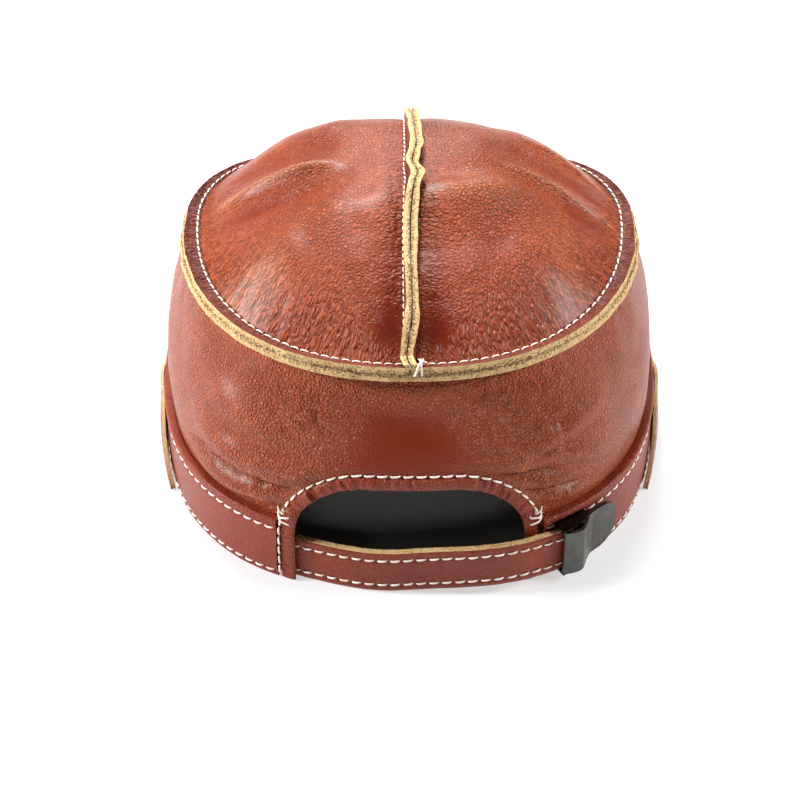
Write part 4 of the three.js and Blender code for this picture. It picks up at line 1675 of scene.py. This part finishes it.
@dataclass
class Headband:
    """The headband, with its rolled upper edge and two rows of stitches."""

    form: CapForm
    finishes: FinishSet
    shift: np.ndarray
    stations: int = 640
    upper_row: float = 21.7
    lower_row: float = 2.5
    groove: float = 0.3
    groove_width: float = 0.75
    puff: float = 0.35

    def end(self) -> float:
        """Azimuth of the band's right end, at the binding."""
        form = self.form
        across = form.opening_half_width + form.binding_width + form.seam_gap
        return float(
            form.azimuth_across(lambda a: form.rim_radius(a) - form.band_thickness, across)
        )

    def proud(self, azimuth: np.ndarray, level: np.ndarray) -> np.ndarray:
        """How far the band's face stands out of its plain surface."""
        form = self.form
        lip = form.band_height - form.lip_height
        roll = np.clip((level - lip) / form.lip_height, 0, 1)
        out = form.lip_proud * np.sin(np.pi * roll) ** 0.7
        middle = (self.upper_row + self.lower_row) / 2
        half = (self.upper_row - self.lower_row) / 2
        out = out + self.puff * np.clip(1 - ((level - middle) / half) ** 2, 0, None) ** 0.6
        for row in (self.upper_row, self.lower_row):
            out = out - self.groove * np.exp(-(((level - row) / self.groove_width) ** 2))
        out = out - 0.5 * np.exp(-(((level - lip) / 0.5) ** 2))
        out = out - 0.6 * np.exp(-((level / 0.5) ** 2))
        run = azimuth * 92.0
        return out + 0.14 * ripple(run / 14.0, level / 12.0, 51) + 0.05 * ripple(run / 4, level / 4, 52)

    def build(self) -> list[bpy.types.Object]:
        """Build the band and sew it.

        Returns:
            The band, which replaces its solid, and its stitches.
        """
        form = self.form
        azimuth = np.linspace(self.end(), 2 * math.pi - self.end(), self.stations)[:, None]
        level = np.concatenate(
            [np.linspace(0, 4.5, 12), np.linspace(5.2, 18.8, 14), np.linspace(19.4, 26.3, 26)]
        )[None, :]
        face = form.rim_radius(azimuth)
        floor = form.rim_height(azimuth)
        outer = form.place(azimuth, face + self.proud(azimuth, level), floor + level)
        back = np.broadcast_to(face - form.band_thickness, outer.shape[:2])
        inner = form.place(azimuth, back, floor + level)
        rings = strap_section(outer, inner, 2)
        columns = outer.shape[1]
        faces = strip_faces(columns, columns, 2, Face.GRAIN, Face.GRAIN)
        draft = Draft("band")
        draft.loft(rings, faces)
        hide = self.finishes.hide(self.finishes.band)
        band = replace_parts(draft.finish(self.shift, hide, Body.CAP, Slot.BAND), "headband")
        thread = Draft("band_stitches")
        line = np.linspace(self.end() + 0.012, 2 * math.pi - self.end() - 0.012, 1400)
        for seed, row in enumerate((self.upper_row, self.lower_row)):
            out = form.rim_radius(line) + self.proud(line, np.full_like(line, row))
            points = form.place(line, out, form.rim_height(line) + row)
            ahead = np.gradient(points, axis=0)
            normals = unit(np.cross(ahead, np.array([0.0, 0.0, 1.0])))
            SeamLine(points, normals).sew(thread, Needle(), 5 + seed)
        materials = [self.finishes.thread]
        return [band, thread.finish(self.shift, materials, Body.CAP, Slot.BAND, 80.0)]


@dataclass
class OpeningBinding:
    """The rolled binding of the rear opening, gathered round its corners, and its stitches."""

    form: CapForm
    finishes: FinishSet
    shift: np.ndarray
    foot: float = 0.6
    pleat: float = 1.0
    pleat_pitch: float = 1.4

    def depth_range(self, height: np.ndarray) -> tuple[np.ndarray, np.ndarray]:
        """Nearest and furthest reach of the roll outside the wall's inner face."""
        form = self.form
        over = form.band_thickness + form.seam_gap
        lower = rise_between(height, form.band_height, form.band_height + form.binding_width)
        full = form.leather + over + (form.binding_proud - over) * lower
        behind = form.band_height - form.wall_allowance + form.seam_gap
        notch = 1 - rise_between(height, behind, form.band_height)
        return (form.leather + form.seam_gap) * notch, full

    def on_wall(self, across: np.ndarray, height: np.ndarray, depth: np.ndarray) -> np.ndarray:
        """Points at a depth outside the wall's inner face, over a place of the opening's plan."""
        form = self.form

        def radius(azimuth: np.ndarray) -> np.ndarray:
            """Radius of the wall at that depth."""
            return form.wall_radius(azimuth, height) + depth

        azimuth = form.azimuth_across(radius, across)
        return form.place(azimuth, radius(azimuth), height)

    def frame_line(self, step: float, margin: float) -> tuple[np.ndarray, np.ndarray]:
        """A line round the opening and the direction away from the opening on it."""
        line = self.form.arch(margin, self.foot, step)
        ahead = unit(np.gradient(line, axis=0))
        return line, np.stack([-ahead[:, 1], ahead[:, 0]], axis=-1)

    def build(self) -> list[bpy.types.Object]:
        """Build the binding and sew it.

        Returns:
            The binding, which replaces its solid, its stitches and its bar tacks.
        """
        form = self.form
        half = form.binding_width / 2
        line, away = self.frame_line(0.55, half)
        near, full = self.depth_range(line[:, 1])
        near = near - 0.9 * rise_between(line[:, 1], form.band_height - 1, form.band_height + 4)
        angles = np.linspace(0, 2 * math.pi, 25)[:-1]
        across = np.sign(np.cos(angles)) * np.abs(np.cos(angles)) ** 0.75
        lift = np.sign(np.sin(angles)) * np.abs(np.sin(angles)) ** 0.8
        along = np.arange(len(line)) * 0.55
        corner = np.exp(-(((np.abs(line[:, 0]) - 33) / 10) ** 2)) * rise_between(line[:, 1], 26, 36)
        amount = self.pleat * (0.5 + corner)
        phase = along[:, None] / self.pleat_pitch + 0.25 * across[None, :]
        wave = amount[:, None] * ripple(phase, 0.35 * across[None, :], 61)
        wave = wave - 0.25 * amount[:, None]
        middle, thick = (near + full) / 2, (full - near) / 2
        swell = np.clip(lift, 0, None)[None, :] * wave
        depth = middle[:, None] + thick[:, None] * lift[None, :] + swell
        plan = line[:, None, :] + away[:, None, :] * (half - 0.05) * across[None, :, None]
        rings = self.on_wall(plan[..., 0], plan[..., 1], depth)
        draft = Draft("binding")
        draft.loft(rings, Face.GRAIN.value)
        hide = self.finishes.hide(self.finishes.band)
        piece = draft.finish(self.shift, hide, Body.CAP, Slot.BAND, 70.0)
        return [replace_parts(piece, "opening_binding"), self.row(), self.tacks()]

    def row(self) -> bpy.types.Object:
        """Sew the row that runs just outside the binding."""
        form = self.form
        line, _ = self.frame_line(0.8, form.binding_width + 0.35)
        line = line[line[:, 1] > 2.2]
        line = line[~((line[:, 0] > 0) & (line[:, 1] < form.band_height + 1.5))]
        above = rise_between(line[:, 1], form.band_height - 0.5, form.band_height + 2)
        over = form.leather + form.band_thickness + form.seam_gap
        depth = over + (form.leather + 0.15 - over) * above
        points = self.on_wall(line[:, 0], line[:, 1], depth)
        normals = unit(points * np.array([1.0, 1.0, 0.0]))
        draft = Draft("opening_stitches")
        SeamLine(points, normals).sew(draft, Needle(4.4, 3.4, 0.38, 0.24, 5.0), 7)
        return draft.finish(self.shift, [self.finishes.thread], Body.CAP, Slot.BAND, 80.0)

    def tacks(self) -> bpy.types.Object:
        """Wind the thread a few times over the binding where it meets the band's upper edge."""
        form = self.form
        draft = Draft("bar_tacks")
        shares = np.linspace(0, 1, 22)
        for side in Side:
            for number, height in enumerate((26.6, 27.9, 30.6)):
                width = form.binding_width * (0.45 if number == 2 else 0.85)
                start = form.opening_half_width + form.binding_width + 0.5 - width * shares
                rise = height + 0.9 * shares * (1 if number % 2 else -1)
                near, full = self.depth_range(rise)
                arched = full + 0.45 - 2.6 * np.abs(2 * shares - 1) ** 6
                points = self.on_wall(side.value * start, rise, arched)
                lay_thread(draft, points, 0.32)
        return draft.finish(self.shift, [self.finishes.thread], Body.CAP, Slot.BAND, 80.0)


@dataclass
class Strap:
    """The adjusting strap: two leathers sewn together, with raw edges above and below."""

    form: CapForm
    finishes: FinishSet
    shift: np.ndarray
    height: float = 16.8
    thickness: float = 2.8
    tuck: float = 9.0
    foot: float = 0.5
    past_hinge: float = 7.5
    buckle_across: float = 51.1
    buckle_rise: float = 3.6
    frame_plate: float = 0.6
    frame_arm: float = 0.6
    row_inset: float = 3.0

    def out(self, across: np.ndarray) -> np.ndarray:
        """Place of the strap's outer face outside the rim."""
        form = self.form
        behind = -(form.band_thickness + form.seam_gap)
        ahead = self.thickness + self.frame_plate + 2 * form.seam_gap
        half = form.opening_half_width
        leaving = rise_between(across, -half, -0.1 * half)
        return behind * (1 - leaving) + ahead * rise_between(across, 0.0, half)

    def bottom(self, across: np.ndarray) -> np.ndarray:
        """Height of the strap's lower edge."""
        half = self.form.opening_half_width
        raised = self.buckle_rise + self.frame_arm + self.form.seam_gap
        share = rise_between(across, -0.4 * half, half)
        return self.foot + (raised - self.foot) * share

    def span(self, count: int) -> np.ndarray:
        """Azimuths from behind the band's left end to under the lever."""
        form = self.form
        ends = [-form.opening_half_width - self.tuck, self.buckle_across]
        start, hinge = form.azimuth_across(form.rim_radius, np.array(ends))
        stop = hinge + self.past_hinge / form.arc_speed(hinge)
        return np.linspace(start, stop, count)

    def face(self, azimuth: np.ndarray, share: np.ndarray) -> np.ndarray:
        """Points of the strap's outer face.

        Args:
            azimuth: Directions, in radians.
            share: Place between the lower and the upper edge, from 0 to 1.

        Returns:
            The points.
        """
        across = self.form.rim_radius(azimuth) * np.sin(azimuth)
        level = share * self.height
        puff = np.zeros_like(level + azimuth)
        for row in (self.row_inset, self.height - self.row_inset):
            puff = puff - 0.28 * np.exp(-(((level - row) / 0.8) ** 2))
        for edge in (0.0, self.height):
            puff = puff - 0.45 * np.exp(-(((level - edge) / 0.55) ** 2))
        puff = puff + 0.08 * ripple(azimuth * 30.0, share * 2.0, 71)
        radius = self.form.rim_radius(azimuth) + self.out(across) + puff
        return self.form.place(azimuth, radius, self.bottom(across) + level)

    def build(self) -> list[bpy.types.Object]:
        """Build the strap and sew it.

        Returns:
            The strap, which replaces its solid, and its stitches.
        """
        azimuth = self.span(240)[:, None]
        share = np.concatenate(
            [np.linspace(0, 0.26, 14), np.linspace(0.3, 0.7, 7), np.linspace(0.74, 1, 14)]
        )[None, :]
        outer = self.face(azimuth, share)
        outward = unit(outer * np.array([1.0, 1.0, 0.0]))
        inner = outer - outward * (self.thickness - 0.5)
        rings = strap_section(outer, inner, 7)
        columns = outer.shape[1]
        run = azimuth * 100.0
        places = np.arange(7)[None, :]
        tuft = 0.22 * ripple(run / 0.9, places * 1.3, 72) + 0.16 * ripple(run / 3.0, places, 73)
        split = -0.35 * np.exp(-(((places - 3) / 0.8) ** 2))
        rings[:, columns : columns + 7, 2] += tuft + split + 0.15
        rings[:, -7:, 2] -= 0.12 * (1 + ripple(run / 1.1, places * 1.3, 74))
        faces = strip_faces(columns, columns, 7, Face.CUT, Face.CUT)
        draft = Draft("strap")
        draft.loft(rings, faces)
        hide = self.finishes.hide(self.finishes.band)
        strap = draft.finish(self.shift, hide, Body.CAP, Slot.BAND)
        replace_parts(strap, "back_strap")
        thread = Draft("strap_stitches")
        line = self.span(500)
        across = self.form.rim_radius(line) * np.sin(line)
        line = line[(across > -self.form.opening_half_width - 3) & (across < self.buckle_across)]
        for seed, row in enumerate((self.row_inset, self.height - self.row_inset)):
            points = self.face(line, np.full_like(line, row / self.height))
            ahead = np.gradient(points, axis=0)
            normals = unit(np.cross(ahead, np.array([0.0, 0.0, 1.0])))
            SeamLine(points, normals).sew(thread, Needle(), 8 + seed)
        materials = [self.finishes.thread]
        return [strap, thread.finish(self.shift, materials, Body.CAP, Slot.BAND, 80.0)]


@dataclass
class Buckle:
    """The gunmetal buckle. Its two solids keep their shape and get eased edges."""

    finishes: FinishSet
    frame: dict
    frame_ease: float = 0.18
    lever_ease: float = 0.3

    def build(self) -> list[bpy.types.Object]:
        """Ease the edges of the two solids and plate them.

        Returns:
            The frame and the lever.
        """
        pieces = []
        for node, material, ease in (
            ("buckle_frame", self.finishes.frame, self.frame_ease),
            ("buckle_lever", self.finishes.lever, self.lever_ease),
        ):
            piece = self.frame["nodes"][node]
            piece.data.materials.clear()
            piece.data.materials.append(material)
            weld = piece.modifiers.new("weld", "WELD")
            weld.merge_threshold = 0.00002
            bevel = piece.modifiers.new("ease", "BEVEL")
            bevel.width = ease * MILLIMETRE
            bevel.segments = 3
            bevel.limit_method = "ANGLE"
            bevel.angle_limit = math.radians(40)
            bevel.harden_normals = False
            pieces.append(piece)
            log.info("%s: eased by %.2f mm", node, ease)
        return pieces


@dataclass
class EarFlaps:
    """The two short ear flaps, turned up against the headband, with raw edges all round."""

    form: CapForm
    finishes: FinishSet
    shift: np.ndarray
    height: float = 24.5
    foot: float = 0.6
    thickness: float = 1.9
    belly: float = 0.8
    roundness: float = 1.6
    back: float = 63.0
    front: float = 109.0

    def flap(self, side: Side) -> bpy.types.Object:
        """Build one flap.

        Args:
            side: Which side of the cap it is on.

        Returns:
            The flap, which replaces its solid.
        """
        form = self.form
        turn = np.linspace(-1, 1, 120)[:, None]
        rows = np.linspace(0, 1, 30)[None, :]
        azimuth = np.radians(self.back + (self.front - self.back) * (turn + 1) / 2)
        ragged = 0.3 * ripple(turn * 9, side.value * 3.0, 81) + 0.12 * ripple(turn * 45, 1.0, 82)
        crown = self.height - self.thickness + ragged
        tall = self.thickness + crown * (1 - np.abs(turn) ** self.roundness)
        level = self.foot + tall * rows
        bow = self.belly * np.sin(np.pi * level / (self.height + self.foot))
        ends = 0.3 * self.belly * np.abs(turn) ** 6
        over = rise_between(level, form.band_height - 3 * form.lip_height, form.band_height)
        stand = np.maximum(bow + ends, form.lip_proud * over) + 0.5 * form.seam_gap
        wave = 0.12 * (1 + ripple(turn * 6, rows * 3, 83)) * rows
        skived = self.thickness * (1 - 0.4 * rows**2)
        radius = form.rim_radius(azimuth) + form.seam_gap + stand + wave
        floor = form.rim_height(azimuth)
        inner = form.place(side.value * azimuth, radius, floor + level)
        outer = form.place(side.value * azimuth, radius + skived, floor + level)
        rings = strap_section(outer, inner, 4)
        columns = outer.shape[1]
        places = np.arange(4)[None, :]
        rings[:, columns : columns + 4, 2] += 0.14 * ripple(turn * 60, places * 1.7, 84)
        faces = strip_faces(columns, columns, 4, Face.CUT, Face.CUT)
        draft = Draft(f"flap_{side.name.lower()}")
        draft.loft(rings, faces)
        hide = self.finishes.hide(self.finishes.crown)
        piece = draft.finish(self.shift, hide, Body.CAP, Slot.CROWN)
        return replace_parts(piece, f"ear_flap_{side.name.lower()}")

    def build(self) -> list[bpy.types.Object]:
        """Build both flaps."""
        return [self.flap(side) for side in Side]


@dataclass
class Lining:
    """The cloth lining that hangs behind the rear opening."""

    form: CapForm
    finishes: FinishSet
    shift: np.ndarray
    thickness: float = 0.9
    setback: float = 5.0
    gap: float = 0.5
    foot: float = 1.0
    height: float = 64.0
    half_angle: float = 50.0
    cut_size: tuple[float, float] = (0.158, 0.064)

    def build(self) -> list[bpy.types.Object]:
        """Build the curtain of cloth.

        Returns:
            The lining, which replaces its solid.
        """
        form = self.form
        half = math.radians(self.half_angle)
        azimuth = np.linspace(-half, half, 150)[:, None]
        level = np.linspace(self.foot, self.height, 60)[None, :]
        fall = 1 - rise_between(level, 0.6 * self.height, self.height)
        middle = 1 - rise_between(np.abs(azimuth) / half, 0.72, 1.0)
        radius = form.wall_radius(azimuth, level) - self.gap
        slack = 0.5 * (1 + ripple(azimuth * 9, level / 30, 91)) * fall * middle
        radius = radius - self.setback * fall * middle - 0.7 * slack
        outer = form.place(azimuth, radius, level)
        inner = form.place(azimuth, radius - self.thickness, level)
        draft = Draft("lining_cloth")
        draft.loft(strap_section(outer, inner, 1), 0)
        materials = [self.finishes.cloth]
        piece = draft.finish(self.shift, materials, Body.CAP, Slot.CLOTH)
        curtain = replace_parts(piece, "lining")
        return [curtain]


@dataclass
class Peak:
    """The peak: leather turned over a stiff core, with one row of stitches along its edge."""

    form: CapForm
    finishes: FinishSet
    shift: np.ndarray
    reach: float = 47.0
    end_reach: float = 1.0
    thickness: float = 3.6
    half_angle: float = 50.0
    tuck: float = 6.0
    drop: float = 5.0
    row_inset: float = 5.0

    def top(self, turn: np.ndarray, share: np.ndarray) -> np.ndarray:
        """Points of the peak's upper face."""
        form = self.form
        azimuth = math.pi + turn * math.radians(self.half_angle)
        spread = np.clip(1 - np.abs(turn) ** 2.4, 0, None) ** 0.8
        reach = self.end_reach + (self.reach - self.end_reach) * spread
        floor = form.rim_height(azimuth) - form.seam_gap
        height = floor - self.drop * (reach / self.reach) * share**2
        radius = form.rim_radius(azimuth) - self.tuck + (self.tuck + reach) * share
        return form.place(azimuth, radius, height)

    def build(self) -> list[bpy.types.Object]:
        """Build the peak and sew its edge.

        Returns:
            The peak, which replaces its solid, and its stitches.
        """
        turn = np.linspace(-1, 1, 150)[:, None]
        share = np.linspace(0, 1, 46)[None, :]
        outer = self.top(turn, share)
        thin = self.thickness * (1 - 0.35 * rise_between(share, 0.9, 1.0))
        inner = outer - np.array([0, 0, 1.0]) * thin[..., None]
        edge = 5
        rings = strap_section(outer, inner, edge)
        columns = outer.shape[1]
        away = unit(outer[:, -1:, :] - outer[:, -2:-1, :])
        round_out = np.sin(np.linspace(0, math.pi, edge + 2)[1:-1])[None, :, None]
        rings[:, columns : columns + edge, :] += 0.9 * round_out * away
        draft = Draft("peak_cover")
        draft.loft(rings, Face.GRAIN.value)
        hide = self.finishes.hide(self.finishes.crown)
        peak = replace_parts(draft.finish(self.shift, hide, Body.CAP, Slot.CROWN), "peak")
        turns = np.linspace(-0.9, 0.9, 400)
        spread = np.clip(1 - np.abs(turns) ** 2.4, 0, None) ** 0.8
        length = self.tuck + self.end_reach + (self.reach - self.end_reach) * spread
        points = self.top(turns, 1 - self.row_inset / length)
        thread = Draft("peak_stitches")
        normals = np.broadcast_to(np.array([0.0, 0.0, 1.0]), points.shape)
        SeamLine(points, normals).sew(thread, Needle(), 12)
        materials = [self.finishes.thread]
        return [peak, thread.finish(self.shift, materials, Body.CAP, Slot.CROWN, 80.0)]


@dataclass(frozen=True)
class SoftLight:
    """One large soft light, placed in metres round the cap."""

    name: str
    place: tuple[float, float, float]
    size: float
    power: float

    def build(self, aim: Vector) -> None:
        """Add the light and turn it to the cap."""
        data = bpy.data.lights.new(self.name, "AREA")
        data.shape = "SQUARE"
        data.size = self.size
        data.energy = self.power
        light = bpy.data.objects.new(self.name, data)
        light.location = self.place
        direction = aim - Vector(self.place)
        light.rotation_euler = direction.to_track_quat("-Z", "Y").to_euler()
        bpy.context.scene.collection.objects.link(light)


@dataclass
class Studio:
    """Pale floor, soft lights and the camera that looks down on the cap's back."""

    shift: np.ndarray
    elevation: float = 38.7
    distance: float = 1024.0
    aim_height: float = 7.0
    aim_across: float = -3.33
    lens: float = 124.4
    sky: float = 0.05
    lights: tuple[SoftLight, ...] = (
        SoftLight("overhead", (-0.2, 0.5, 1.35), 0.45, 29.0),
        SoftLight("behind", (0.0, 1.35, 0.95), 0.8, 11.0),
        SoftLight("left", (-1.25, -0.15, 0.7), 0.4, 27.0),
        SoftLight("right", (1.2, -0.1, 0.7), 0.35, 16.0),
    )

    def build(self) -> None:
        """Set up the floor, the lights and the camera."""
        scene = bpy.context.scene
        scene.view_settings.view_transform = "Standard"
        mesh = bpy.data.meshes.new("floor")
        corners = [(-4, -4, 0), (4, -4, 0), (4, 4, 0), (-4, 4, 0)]
        mesh.from_pydata(corners, [], [(0, 1, 2, 3)])
        floor = bpy.data.objects.new("floor", mesh)
        scene.collection.objects.link(floor)
        material, tree, shader = new_material("white paper")
        paper = {
            "Base Color": linear("#B4B4B6"),
            "Roughness": 0.9,
            "Emission Color": linear("#FFFFFF"),
            "Emission Strength": 0.55,
        }
        set_shader(tree, shader, paper)
        mesh.materials.append(material)
        world = bpy.data.worlds.new("white studio")
        world.use_nodes = True
        background = world.node_tree.nodes["Background"]
        background.inputs["Color"].default_value = (1.0, 1.0, 1.0, 1.0)
        background.inputs["Strength"].default_value = self.sky
        scene.world = world
        aim = Vector((np.array([0.0, 0.0, 50.0]) + self.shift) * MILLIMETRE)
        for light in self.lights:
            light.build(aim)
        self.camera()

    def camera(self) -> None:
        """Place the camera behind and above the cap."""
        target = np.array([self.aim_across, 0.0, self.aim_height]) + self.shift
        rise = math.radians(self.elevation)
        back = np.array([0.0, -math.cos(rise), math.sin(rise)])
        data = bpy.data.cameras.new("camera")
        data.lens = self.lens
        data.sensor_width = 36.0
        data.clip_start, data.clip_end = 0.05, 20.0
        camera = bpy.data.objects.new("camera", data)
        camera.location = Vector((target + back * self.distance) * MILLIMETRE)
        camera.rotation_euler = Vector(-back).to_track_quat("-Z", "Y").to_euler()
        bpy.context.scene.collection.objects.link(camera)
        bpy.context.scene.camera = camera


def main() -> None:
    """Build the cap's sub-assemblies in order, then the studio."""
    logging.basicConfig(level=logging.INFO, format="%(name)s: %(message)s")
    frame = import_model()
    form = CapForm()
    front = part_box("headband")[1].y / MILLIMETRE
    shift = np.array([0.0, front - form.rim_front - form.lip_proud, 0.0])
    finishes = FinishSet()
    studio = Studio(shift)
    studio.build()
    shared = (form, finishes, shift)
    parts = (
        Crown(*shared),
        SideWall(*shared),
        Headband(*shared),
        OpeningBinding(*shared),
        Strap(*shared),
        Buckle(finishes, frame),
        EarFlaps(*shared),
        Lining(*shared),
        Peak(*shared),
    )
    for part in parts:
        for piece in part.build():
            log.info("%s made %s", type(part).__name__, piece.name)


if __name__ == "__main__":
    main()
